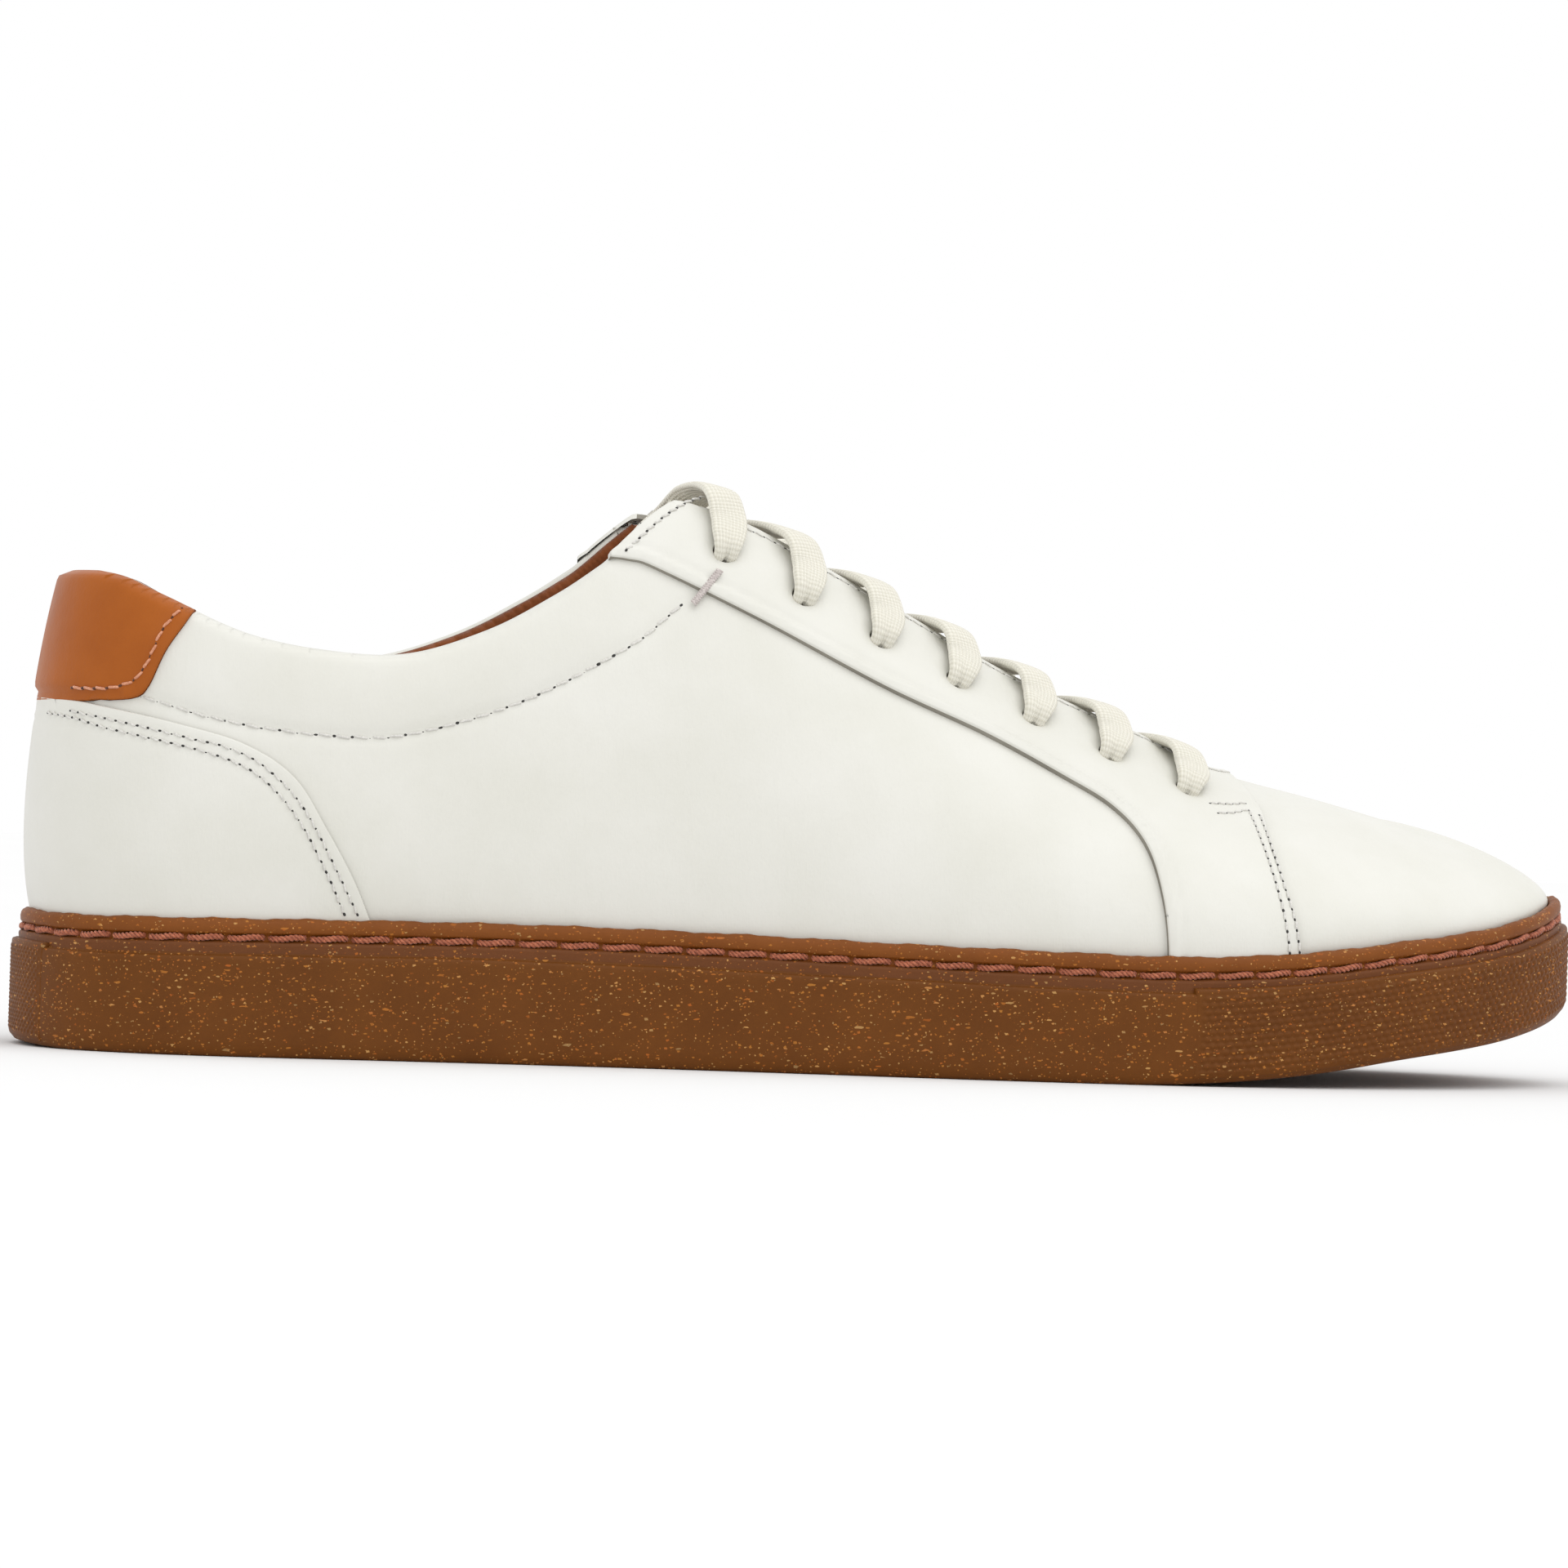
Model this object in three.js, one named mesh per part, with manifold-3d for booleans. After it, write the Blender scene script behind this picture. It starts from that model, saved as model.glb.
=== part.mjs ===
// Low-top leather court shoe for the right foot, on a moulded cupsole.
// Millimetres. +X points to the toe, -Y is the outer (lateral) side, +Z is up.
import * as THREE from 'three';
import { mergeVertices } from 'three/addons/utils/BufferGeometryUtils.js';
import Module from 'manifold-3d';

const wasm = await Module();
wasm.setup();

// ---------------------------------------------------------------- driving dimensions
// Outline of the sole seen from above, from the back of the heel round the lateral side to the toe and back.
const SOLE_OUTLINE = [
  [0, 0], [5, -19], [22, -33], [50, -36.8], [85, -37.4], [120, -40.5], [155, -46.5], [188, -51.6],
  [220, -52], [250, -46], [275, -34], [292, -18], [300, 2], [297, 21], [283, 36.5], [259, 46.5],
  [230, 51], [200, 49.8], [170, 44], [138, 37.5], [104, 34], [70, 35], [40, 36.3], [16, 29.5], [3.6, 15.5],
];
const TOE_SPRING_START = 198;   // the underside lifts off the ground in front of this
const TOE_SPRING_RISE = 17;     // lift 100 mm further on
const TOE_BLUNT = [250, 292];   // the lift slackens between these, by
const TOE_DROP = 2.6;
const HEEL_ROLL = 12;           // length of the small bevel at the back of the heel
const UPPER_INSET = 4.4;        // from the sole's edge in to the foot of the upper
const WALL_HEIGHT = [           // height of the sidewall over the underside, along the shoe
  [0, 24.6], [45, 25.2], [90, 25.6], [130, 25.1], [160, 24.4], [200, 23.7], [240, 22.5], [270, 21.8],
  [300, 22.1],
];
const PANEL_TOP = 6.6;          // below the top of the sidewall: ledge over the plain wall
const GROOVE_LOW = 4.3;         // below the top: groove that holds the rope stitch
const GROOVE_HIGH = 2.7;
const GROOVE_DEPTH = 1.3;
const BAND_INSET = 1.7;         // the band over the ledge stands in from the outline
const STITCH_RADIUS = 0.5;
const OUTSOLE_FLOOR = 6.0;      // thickness of the sole under the foot
const FILLER_TOP = 13.0;
const BOARD_TOP = 15.0;
const FOOTBED_TOP = 19.0;
const COVER_TOP = 20.0;
const GAP = 0.3;                // clearance between neighbouring pieces

// Depth of each layer of the upper under its reference skin; negative is outside it.
const OVERLAY = [-1.5, -0.3];
const LEATHER = [0, 1.2];
const STIFFENER = [1.5, 2.5];
const LINING = [2.8, 3.6];
const TONGUE_LEATHER = [8.1, 9.1];
const TONGUE_PADDING = [9.4, 11.6];
const TONGUE_LINING = [11.9, 12.7];
const COLLAR_PADDING = 3.0;     // extra thickness of the padded collar

// Side view curves of the upper, as [x, z].
const RIDGE = [                 // centre line of the instep and toe, closed over the opening of the collar
  [37, 125.5], [62, 124.5], [90, 121.5], [115, 113.5], [133, 105.5], [146, 98], [165, 88], [181, 79.7],
  [200, 71.6], [213, 66], [227, 59], [235, 56.6], [245, 54.4], [262, 50.2],
];
const COLLAR = [
  [9, 87], [12, 88], [17, 86.8], [24, 83.6], [39, 77.5], [54, 74.9], [69, 74.9], [84, 80], [96, 86.8],
  [104, 92.3], [107, 94.8], [112, 99.4], [116.5, 103], [121.5, 105.6], [126, 106.5], [131, 106.2], [140, 104],
];
const EYESTAY_SEAM = [
  [105.3, 94], [110, 93.5], [115, 92.2], [134.5, 83.3], [158, 71.6], [177, 63.6], [191.5, 56.2],
  [200.6, 50.8], [206, 44.1], [208.3, 34.2], [209.6, 20],
];
const EYESTAY_FRONT = [[229.6, 60], [231.6, 50.7], [230.6, 43.1], [231.9, 36.5], [233.2, 29.5], [235.4, 20]];
const COUNTER_EDGE = [
  [-4, 63.2], [11.7, 63], [26.7, 59.8], [38.8, 56.5], [47.9, 50.9], [54.1, 41.7], [59.9, 31.6], [65, 20],
];
const HEEL_TAB_EDGE = [
  [30.2, 86], [28.9, 80.5], [24.7, 73.5], [21.7, 66.9], [19.3, 64.8], [15, 64.2], [-4, 64.2],
];
const COLLAR_STITCH = [
  [-4, 65.5], [20.3, 64.8], [37.2, 60.6], [57.1, 58.8], [70.6, 60], [90.6, 66.7], [109.8, 77.3], [122, 87.5],
];
const EYELETS = [[128.2, 95.2], [171.6, 73.5], [217.1, 54.1]];   // first, middle and last of the row
const EYELET_COUNT = 7;
const EYELET_RADIUS = 2.5;
// Half width of the throat between the facings, along the shoe.
const THROAT = [[104, 16], [127, 13], [165, 13], [200, 14], [218, 13]];
const THROAT_END = 231;
const SPINE_SIDEWAYS = [[37, 0], [80, -0.5], [130, -0.5], [180, 2.5], [220, 5], [262, 5.5]];

const STATIONS = 22;            // sections along the shoe
const ROWS = 8;                 // rows from the sole up to the ridge

// ---------------------------------------------------------------- curves
// Natural cubic through points, as a function of the first value.
function curve(points) {
  const n = points.length;
  const x = points.map((p) => p[0]);
  const y = points.map((p) => p[1]);
  const slope = new Array(n).fill(0);
  const work = new Array(n).fill(0);
  for (let i = 1; i < n - 1; i += 1) {
    const s = (x[i] - x[i - 1]) / (x[i + 1] - x[i - 1]);
    const p = s * slope[i - 1] + 2;
    slope[i] = (s - 1) / p;
    const jump = (y[i + 1] - y[i]) / (x[i + 1] - x[i]) - (y[i] - y[i - 1]) / (x[i] - x[i - 1]);
    work[i] = (6 * jump / (x[i + 1] - x[i - 1]) - s * work[i - 1]) / p;
  }
  const bend = new Array(n).fill(0);
  for (let i = n - 2; i >= 0; i -= 1) bend[i] = slope[i] * bend[i + 1] + work[i];
  return (at) => {
    const v = Math.min(Math.max(at, x[0]), x[n - 1]);
    let i = 0;
    while (i < n - 2 && v > x[i + 1]) i += 1;
    const h = x[i + 1] - x[i];
    const a = (x[i + 1] - v) / h;
    const b = (v - x[i]) / h;
    return a * y[i] + b * y[i + 1] + ((a ** 3 - a) * bend[i] + (b ** 3 - b) * bend[i + 1]) * h * h / 6;
  };
}

// Smooth closed curve through points in the plane, parameter 0 to 1.
function ring(points) {
  const n = points.length;
  const step = points.map((p, i) => Math.hypot(points[(i + 1) % n][0] - p[0], points[(i + 1) % n][1] - p[1]));
  const total = step.reduce((a, b) => a + b, 0);
  const bends = [0, 1].map((k) => {
    let m = new Array(n).fill(0);
    for (let pass = 0; pass < 200; pass += 1) {
      for (let i = 0; i < n; i += 1) {
        const before = (i + n - 1) % n;
        const after = (i + 1) % n;
        const ahead = (points[after][k] - points[i][k]) / step[i];
        const jump = ahead - (points[i][k] - points[before][k]) / step[before];
        m[i] = (6 * jump - step[before] * m[before] - step[i] * m[after]) / (2 * (step[before] + step[i]));
      }
    }
    return m;
  });
  return (t) => {
    let s = (t - Math.floor(t)) * total;
    let i = 0;
    while (i < n - 1 && s > step[i]) {
      s -= step[i];
      i += 1;
    }
    const h = step[i];
    const b = s / h;
    const a = 1 - b;
    const after = (i + 1) % n;
    return [0, 1].map((k) => a * points[i][k] + b * points[after][k]
      + ((a ** 3 - a) * bends[k][i] + (b ** 3 - b) * bends[k][after]) * h * h / 6);
  };
}

const outline = ring(SOLE_OUTLINE);
const wallHeight = curve(WALL_HEIGHT);
const ridge = curve(RIDGE);
const spineSideways = curve(SPINE_SIDEWAYS);

// Point of the sole's outline moved in by a distance.
function inset(t, distance) {
  const e = 1e-4;
  const a = outline(t - e);
  const b = outline(t + e);
  const length = Math.hypot(b[0] - a[0], b[1] - a[1]);
  const p = outline(t);
  return [p[0] - distance * (b[1] - a[1]) / length, p[1] + distance * (b[0] - a[0]) / length];
}

function underside(x) {
  const spring = Math.max((x - TOE_SPRING_START) / 100, 0);
  const roll = Math.min(Math.max((HEEL_ROLL - x) / HEEL_ROLL, 0), 1);
  const blunt = TOE_DROP * THREE.MathUtils.smoothstep(x, ...TOE_BLUNT);
  return TOE_SPRING_RISE * spring * spring - blunt + roll * roll;
}

function soleTop(x) {
  return underside(x) + wallHeight(x);
}

// Extreme of the upper's foot line, by golden section.
function extreme(from, to, sign) {
  const g = (Math.sqrt(5) - 1) / 2;
  let a = from;
  let b = to;
  for (let i = 0; i < 60; i += 1) {
    const c = b - g * (b - a);
    const d = a + g * (b - a);
    if (sign * inset(c, UPPER_INSET)[0] > sign * inset(d, UPPER_INSET)[0]) b = d;
    else a = c;
  }
  return (a + b) / 2;
}
const HEEL_T = extreme(-0.08, 0.08, -1);
const TOE_T = extreme(0.4, 0.6, 1);
const HEEL_X = inset(HEEL_T, UPPER_INSET)[0];
const TOE_X = inset(TOE_T, UPPER_INSET)[0];

// Parameter on one side (-1 lateral, 1 medial) where the upper's foot line has this x.
function sideParameter(x, side) {
  let a = side < 0 ? HEEL_T : HEEL_T + 1;
  let b = TOE_T;
  for (let i = 0; i < 50; i += 1) {
    const c = (a + b) / 2;
    if (inset(c, UPPER_INSET)[0] < x) a = c;
    else b = c;
  }
  return (a + b) / 2;
}

// ---------------------------------------------------------------- skin of the upper
// Each section is a cubic arch from the sole's edge up to the spine over the middle of the foot.
const SECTION_X = [4, 40, 80, 120, 160, 200, 240, 270, 296];
const along = (values) => curve(values.map((v, i) => [SECTION_X[i], v]));
const bulge = {
  '-1': along([-6, -5.5, -5, -3.5, -3, -2.5, -2.5, -1.5, 0]),
  1: along([-6, -5.5, -5.5, -5, -4, -3, -2.5, -1.5, 0]),
};
const rise = {
  '-1': along([24, 24, 24, 32, 30, 23, 16, 9, 4]),
  1: along([24, 24, 24, 32, 32, 25, 17, 9, 4]),
};
const crown = {
  '-1': along([0.3, 0.35, 0.42, 0.62, 0.52, 0.32, 0.36, 0.45, 0.5]),
  1: along([0.3, 0.35, 0.42, 0.6, 0.52, 0.32, 0.36, 0.45, 0.5]),
};
const droop = along([30, 28, 20, 4, 0, 0, 0, 0, 0]);
const reach = along([0.27, 0.32, 0.55, 0.95, 1, 1, 1, 1, 1]);
const SPINE_BACK = 37;
const SPINE_FRONT = 262;

// Point of the skin: x of its foot, side, and height 0 at the sole to 1 at the ridge.
function skin(footX, side, v) {
  const foot = inset(sideParameter(footX, side), UPPER_INSET);
  const g = Math.min(Math.max((footX - HEEL_X) / (TOE_X - HEEL_X), 0), 1);
  const spineX = SPINE_BACK + (SPINE_FRONT - SPINE_BACK) * g * g * (3 - 2 * g);
  const across = [spineX - foot[0], spineSideways(spineX) - foot[1]];
  const width = Math.hypot(across[0], across[1]);
  const dir = [across[0] / width, across[1] / width];
  const bottom = soleTop(footX);
  const top = ridge(spineX);
  const slope = (ridge(spineX + 0.5) - ridge(spineX - 0.5)) * dir[0];
  const last = width * Math.min(Math.max(reach(footX), 0), 1);
  const handle = last * crown[side](footX);
  const b = 3 * v * (1 - v) * (1 - v);
  const c = 3 * v * v * (1 - v);
  const d = v * v * v;
  const a = (1 - v) ** 3;
  const r = b * bulge[side](footX) + c * (last - handle) + d * last;
  const shoulder = top - droop(footX) - handle * slope;
  const z = a * bottom + b * (bottom + rise[side](footX)) + c * shoulder + d * top;
  return new THREE.Vector3(foot[0] + dir[0] * r, foot[1] + dir[1] * r, z);
}

// Outward direction of the skin.
function skinNormal(footX, side, v) {
  const e = 0.002;
  const x = Math.min(Math.max(footX, HEEL_X + 0.6), TOE_X - 0.6);
  const u = skin(x + 0.5, side, v).sub(skin(x - 0.5, side, v));
  const w = skin(x, side, Math.min(v + e, 1)).sub(skin(x, side, Math.max(v - e, 0)));
  return u.cross(w).multiplyScalar(-side).normalize();
}

// Point of the skin moved inward by a depth.
function under(footX, side, v, depth) {
  return skin(footX, side, v).addScaledVector(skinNormal(footX, side, v), -depth);
}

// Foot x and height on one side where the skin has a given x and z in the side view.
function onSide(x, z, side) {
  let u = x;
  let v = 0.5;
  for (let i = 0; i < 40; i += 1) {
    const p = skin(u, side, v);
    const du = skin(u + 0.05, side, v).sub(p).multiplyScalar(20);
    const dv = skin(u, side, v + 0.0005).sub(p).multiplyScalar(2000);
    const det = du.x * dv.z - du.z * dv.x;
    const ex = x - p.x;
    const ez = z - p.z;
    u += Math.min(Math.max((ex * dv.z - ez * dv.x) / det, -6), 6);
    v += Math.min(Math.max((ez * du.x - ex * du.z) / det, -0.1), 0.1);
    u = Math.min(Math.max(u, HEEL_X), TOE_X);
    v = Math.min(Math.max(v, 0), 1);
  }
  return [u, v];
}

// ---------------------------------------------------------------- solids
function solidOf(geometry) {
  const bare = geometry.index ? geometry.toNonIndexed() : geometry.clone();
  bare.deleteAttribute('normal');
  bare.deleteAttribute('uv');
  const merged = mergeVertices(bare, 1e-4);
  const index = merged.index.array;
  const kept = [];
  for (let i = 0; i < index.length; i += 3) {
    const [a, b, c] = [index[i], index[i + 1], index[i + 2]];
    if (a !== b && b !== c && c !== a) kept.push(a, b, c);
  }
  const vertProperties = new Float32Array(merged.attributes.position.array);
  return new wasm.Manifold(new wasm.Mesh({ numProp: 3, vertProperties, triVerts: new Uint32Array(kept) }));
}

// Finished geometry of a solid, without the slivers that cuts leave.
const SLIVER = 0.04;
function geometryOf(solid) {
  const mesh = solid.simplify(SLIVER).getMesh();
  const geometry = new THREE.BufferGeometry();
  geometry.setAttribute('position', new THREE.BufferAttribute(new Float32Array(mesh.vertProperties), 3));
  geometry.setIndex(new THREE.BufferAttribute(new Uint32Array(mesh.triVerts), 1));
  geometry.computeVertexNormals();
  return geometry;
}

function geometryFrom(vertices, triangles) {
  const geometry = new THREE.BufferGeometry();
  const values = vertices.flatMap((p) => [p.x, p.y, p.z]);
  geometry.setAttribute('position', new THREE.Float32BufferAttribute(values, 3));
  geometry.setIndex(triangles);
  return geometry;
}

// Closed solid through rings of equal point counts. Capped ends, or joined end to end.
function loft(rings, joined) {
  const count = rings[0].length;
  const triangles = [];
  const last = joined ? rings.length : rings.length - 1;
  for (let i = 0; i < last; i += 1) {
    const a = i * count;
    const b = ((i + 1) % rings.length) * count;
    for (let j = 0; j < count; j += 1) {
      const k = (j + 1) % count;
      triangles.push(a + j, a + k, b + k, a + j, b + k, b + j);
    }
  }
  if (!joined) {
    const end = (rings.length - 1) * count;
    for (let j = 1; j < count - 1; j += 1) {
      triangles.push(0, j + 1, j);
      triangles.push(end, end + j, end + j + 1);
    }
  }
  return outward(geometryFrom(rings.flat(), triangles));
}

// Turns a closed surface right side out.
function outward(geometry) {
  const p = geometry.attributes.position;
  const index = geometry.index.array;
  const at = (i) => new THREE.Vector3().fromBufferAttribute(p, i);
  let volume = 0;
  for (let i = 0; i < index.length; i += 3) {
    volume += at(index[i]).dot(at(index[i + 1]).cross(at(index[i + 2])));
  }
  if (volume < 0) {
    const turned = [];
    for (let i = 0; i < index.length; i += 3) turned.push(index[i], index[i + 2], index[i + 1]);
    geometry.setIndex(turned);
  }
  return geometry;
}

// Foot x of every section, closer together round the heel and the toe.
const sections = [];
for (let i = 0; i <= STATIONS; i += 1) {
  sections.push(HEEL_X + (TOE_X - HEEL_X) * (1 - Math.cos(Math.PI * i / STATIONS)) / 2);
}

// Surface of the whole last: rows of points up both sides, joined over the top, open at the sole.
function lastSurface() {
  const points = [];
  const corner = (i, side, row) => {
    if (row >= 0) return skin(sections[i], side, row / ROWS);
    const foot = skin(sections[i], side, 0);
    return foot.setZ(underside(sections[i]) + FILLER_TOP + GAP);
  };
  const triangles = [];
  const quad = (a, b, c, d) => {
    const start = points.length;
    points.push(a, b, c, d);
    triangles.push(start, start + 1, start + 2, start, start + 2, start + 3);
  };
  for (let i = 0; i < STATIONS; i += 1) {
    for (let row = -1; row < ROWS; row += 1) {
      quad(corner(i, -1, row), corner(i + 1, -1, row), corner(i + 1, -1, row + 1), corner(i, -1, row + 1));
      quad(corner(i + 1, 1, row), corner(i, 1, row), corner(i, 1, row + 1), corner(i + 1, 1, row + 1));
    }
    quad(corner(i, -1, ROWS), corner(i + 1, -1, ROWS), corner(i + 1, 1, ROWS), corner(i, 1, ROWS));
  }
  const merged = mergeVertices(geometryFrom(points, triangles), 1e-3);
  const index = Array.from(merged.index.array);
  const kept = [];
  for (let i = 0; i < index.length; i += 3) {
    const [a, b, c] = index.slice(i, i + 3);
    if (a !== b && b !== c && c !== a) kept.push(a, b, c);
  }
  merged.setIndex(kept);
  merged.computeVertexNormals();
  return merged;
}
const surface = lastSurface();

const collarStitch = curve(COLLAR_STITCH);

// How much deeper the padded collar makes the layers behind it at a point.
function padding(p) {
  if (p.x > 124) return 0;
  const up = THREE.MathUtils.smoothstep(p.z - collarStitch(p.x), 0, 7);
  return COLLAR_PADDING * up * (1 - THREE.MathUtils.smoothstep(p.x, 104, 124));
}

// Shell between two depths under the skin. Each depth may be a number or a function of the skin's point.
function shell(outerDepth, innerDepth) {
  const p = surface.attributes.position;
  const n = surface.attributes.normal;
  const index = surface.index.array;
  const count = p.count;
  const vertices = [];
  for (const depth of [outerDepth, innerDepth]) {
    for (let i = 0; i < count; i += 1) {
      const point = new THREE.Vector3().fromBufferAttribute(p, i);
      const normal = new THREE.Vector3().fromBufferAttribute(n, i);
      const amount = typeof depth === 'number' ? depth : depth(point);
      vertices.push(point.addScaledVector(normal, -amount));
    }
  }
  const triangles = [];
  const edges = new Map();
  for (let i = 0; i < index.length; i += 3) {
    const face = [index[i], index[i + 1], index[i + 2]];
    triangles.push(...face);
    triangles.push(face[0] + count, face[2] + count, face[1] + count);
    for (let k = 0; k < 3; k += 1) {
      const a = face[k];
      const b = face[(k + 1) % 3];
      if (edges.has(`${b},${a}`)) edges.delete(`${b},${a}`);
      else edges.set(`${a},${b}`, [a, b]);
    }
  }
  for (const [a, b] of edges.values()) {
    triangles.push(b, a, a + count, b, a + count, b + count);
  }
  return solidOf(outward(geometryFrom(vertices, triangles)));
}

// ---------------------------------------------------------------- cutters
const FAR = 400;

function outlineShape(points) {
  return new THREE.Shape(points.map((p) => new THREE.Vector2(p[0], p[1])));
}

// Prism across the shoe, from a side view outline, between two y values.
function sidePrism(points, y0, y1) {
  const geometry = new THREE.ExtrudeGeometry(outlineShape(points), { depth: y1 - y0, bevelEnabled: false });
  geometry.rotateX(Math.PI / 2);
  geometry.translate(0, y1, 0);
  return solidOf(geometry);
}

// Upright prism from an outline seen from above.
function planPrism(points, z0, z1) {
  const geometry = new THREE.ExtrudeGeometry(outlineShape(points), { depth: z1 - z0, bevelEnabled: false });
  geometry.translate(0, 0, z0);
  return solidOf(geometry);
}

// Smooth line through side view points, sampled evenly.
function smooth(points, count) {
  const line = new THREE.SplineCurve(points.map((p) => new THREE.Vector2(p[0], p[1])));
  return line.getSpacedPoints(count).map((p) => [p.x, p.y]);
}

const collarLine = smooth(COLLAR, 20);
const seamLine = smooth(EYESTAY_SEAM, 14);
const frontLine = smooth(EYESTAY_FRONT, 8);
const counterLine = smooth(COUNTER_EDGE, 10);
const tabLine = smooth(HEEL_TAB_EDGE, 8);
const stitchLine = smooth(COLLAR_STITCH, 10);

// Moves a line sideways in the side view, to its left when positive.
function shifted(line, distance) {
  return line.map((p, i) => {
    const a = line[Math.max(i - 1, 0)];
    const b = line[Math.min(i + 1, line.length - 1)];
    const length = Math.hypot(b[0] - a[0], b[1] - a[1]);
    return [p[0] - distance * (b[1] - a[1]) / length, p[1] + distance * (b[0] - a[0]) / length];
  });
}

// Everything over the collar line: the opening for the foot.
const BEHIND = -20;             // past the heel in the side view, as OVERHEAD is over the shoe
const AHEAD = 340;
const OVERHEAD = 200;
function aboveCollar(lower) {
  const line = shifted(collarLine, -lower);
  const back = [BEHIND, COLLAR[0][1] - lower];
  const front = [COLLAR[COLLAR.length - 1][0] + 10, OVERHEAD];
  return sidePrism([back, ...line, front, [BEHIND, OVERHEAD]], -FAR, FAR);
}

const throatWidth = curve(THROAT);

// The slot between the facings, wider by a margin, rounded at its toe end.
function throat(margin) {
  const lateral = [];
  const medial = [];
  const steps = 12;
  const straightEnd = THROAT[THROAT.length - 1][0];
  for (let i = 0; i <= steps; i += 1) {
    const x = THROAT[0][0] + (straightEnd - THROAT[0][0]) * i / steps;
    lateral.push([x, spineSideways(x) - throatWidth(x) - margin]);
    medial.push([x, spineSideways(x) + throatWidth(x) + margin]);
  }
  const radius = throatWidth(straightEnd) + margin;
  const nose = THROAT_END + margin - straightEnd;
  for (let i = 1; i < 10; i += 1) {
    const a = Math.PI * i / 20;
    const x = straightEnd + nose * Math.sin(a);
    lateral.push([x, spineSideways(x) - radius * Math.cos(a)]);
    medial.push([x, spineSideways(x) + radius * Math.cos(a)]);
  }
  const tip = straightEnd + nose;
  return planPrism([...lateral, [tip, spineSideways(tip)], ...medial.reverse()], 40, 160);
}

const openAnkle = aboveCollar(0);
const openThroat = throat(0);
const HEEL_SEAM = inset(HEEL_T, UPPER_INSET)[1];
const sideHalf = { '-1': [-FAR, HEEL_SEAM - GAP / 2], 1: [HEEL_SEAM + GAP / 2, FAR] };

// One side of the shoe, from an outline in the side view.
function sideRegion(points, side) {
  return sidePrism(points, ...sideHalf[side]);
}

// Lower edge of the overlays, just over the rim of the sole.
const rim = [];
for (let x = BEHIND; x <= AHEAD; x += 10) {
  rim.push([x, soleTop(THREE.MathUtils.clamp(x, HEEL_X, TOE_X)) + GAP + 0.1]);
}
const overRim = sidePrism([...rim, [AHEAD, OVERHEAD], [BEHIND, OVERHEAD]], -FAR, FAR);

// Eyelet holes through every layer of a facing.
const eyeletHeight = curve(EYELETS);
const eyeletPlace = [];
for (let i = 0; i < EYELET_COUNT; i += 1) {
  const x = EYELETS[0][0] + (EYELETS[2][0] - EYELETS[0][0]) * i / (EYELET_COUNT - 1);
  eyeletPlace.push(onSide(x, eyeletHeight(x), -1));
}

function eyeletPins(side) {
  let all = null;
  for (const [u, v] of eyeletPlace) {
    const pin = new THREE.CylinderGeometry(EYELET_RADIUS, EYELET_RADIUS, 14, 7);
    const axis = new THREE.Vector3(0, 1, 0);
    const turn = new THREE.Quaternion().setFromUnitVectors(axis, skinNormal(u, side, v));
    pin.applyQuaternion(turn);
    const centre = under(u, side, v, 1);
    pin.translate(centre.x, centre.y, centre.z);
    const solid = solidOf(pin);
    all = all ? all.add(solid) : solid;
  }
  return all;
}
const pins = { '-1': eyeletPins(-1), 1: eyeletPins(1) };

// ---------------------------------------------------------------- upper
const nodes = [];
function add(name, geometry, color, roughness) {
  const material = new THREE.MeshStandardMaterial({ color, roughness, metalness: 0 });
  const mesh = new THREE.Mesh(geometry, material);
  mesh.name = name;
  nodes.push(mesh);
}

// Keeps the largest body of a cut shell, so that a sliver beside a seam is not left as a second body.
function mainBody(solid) {
  const parts = solid.decompose();
  return parts.reduce((best, part) => (part.volume() > best.volume() ? part : best));
}

const WHITE = 0xe9e8e0;
const TAN = 0xb56f3a;
const SUEDE = 0x8a4a22;
const GUM = 0x75461c;

const leather = shell(...LEATHER).subtract(openAnkle).subtract(openThroat);
const overlay = shell(...OVERLAY).subtract(openAnkle).subtract(openThroat).intersect(overRim);
const CORE_EDGE = 1;            // stiffeners and foam stop this far short of the collar and the throat
const stiffener = shell(STIFFENER[0], (p) => STIFFENER[1] + padding(p))
  .subtract(aboveCollar(CORE_EDGE)).subtract(throat(CORE_EDGE));
const lining = shell((p) => LINING[0] + padding(p), (p) => LINING[1] + padding(p))
  .subtract(openAnkle).subtract(openThroat);

// The vamp starts under the toe end of the eyestays.
const VAMP_LAP = 7;
const vampLine = shifted(frontLine, -VAMP_LAP);
const BELOW_SOLE = -5;
const behindVamp = [
  [BEHIND, OVERHEAD], [BEHIND, BELOW_SOLE], [vampLine[vampLine.length - 1][0], BELOW_SOLE],
  ...[...vampLine].reverse(), [vampLine[0][0], OVERHEAD],
];
const vampStart = shifted(vampLine, GAP);
const beforeVamp = [
  [vampStart[0][0], OVERHEAD], ...vampStart, [vampStart[vampStart.length - 1][0], BELOW_SOLE],
  [AHEAD, BELOW_SOLE], [AHEAD, OVERHEAD],
];
const allVamp = sidePrism(beforeVamp, -FAR, FAR);

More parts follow.
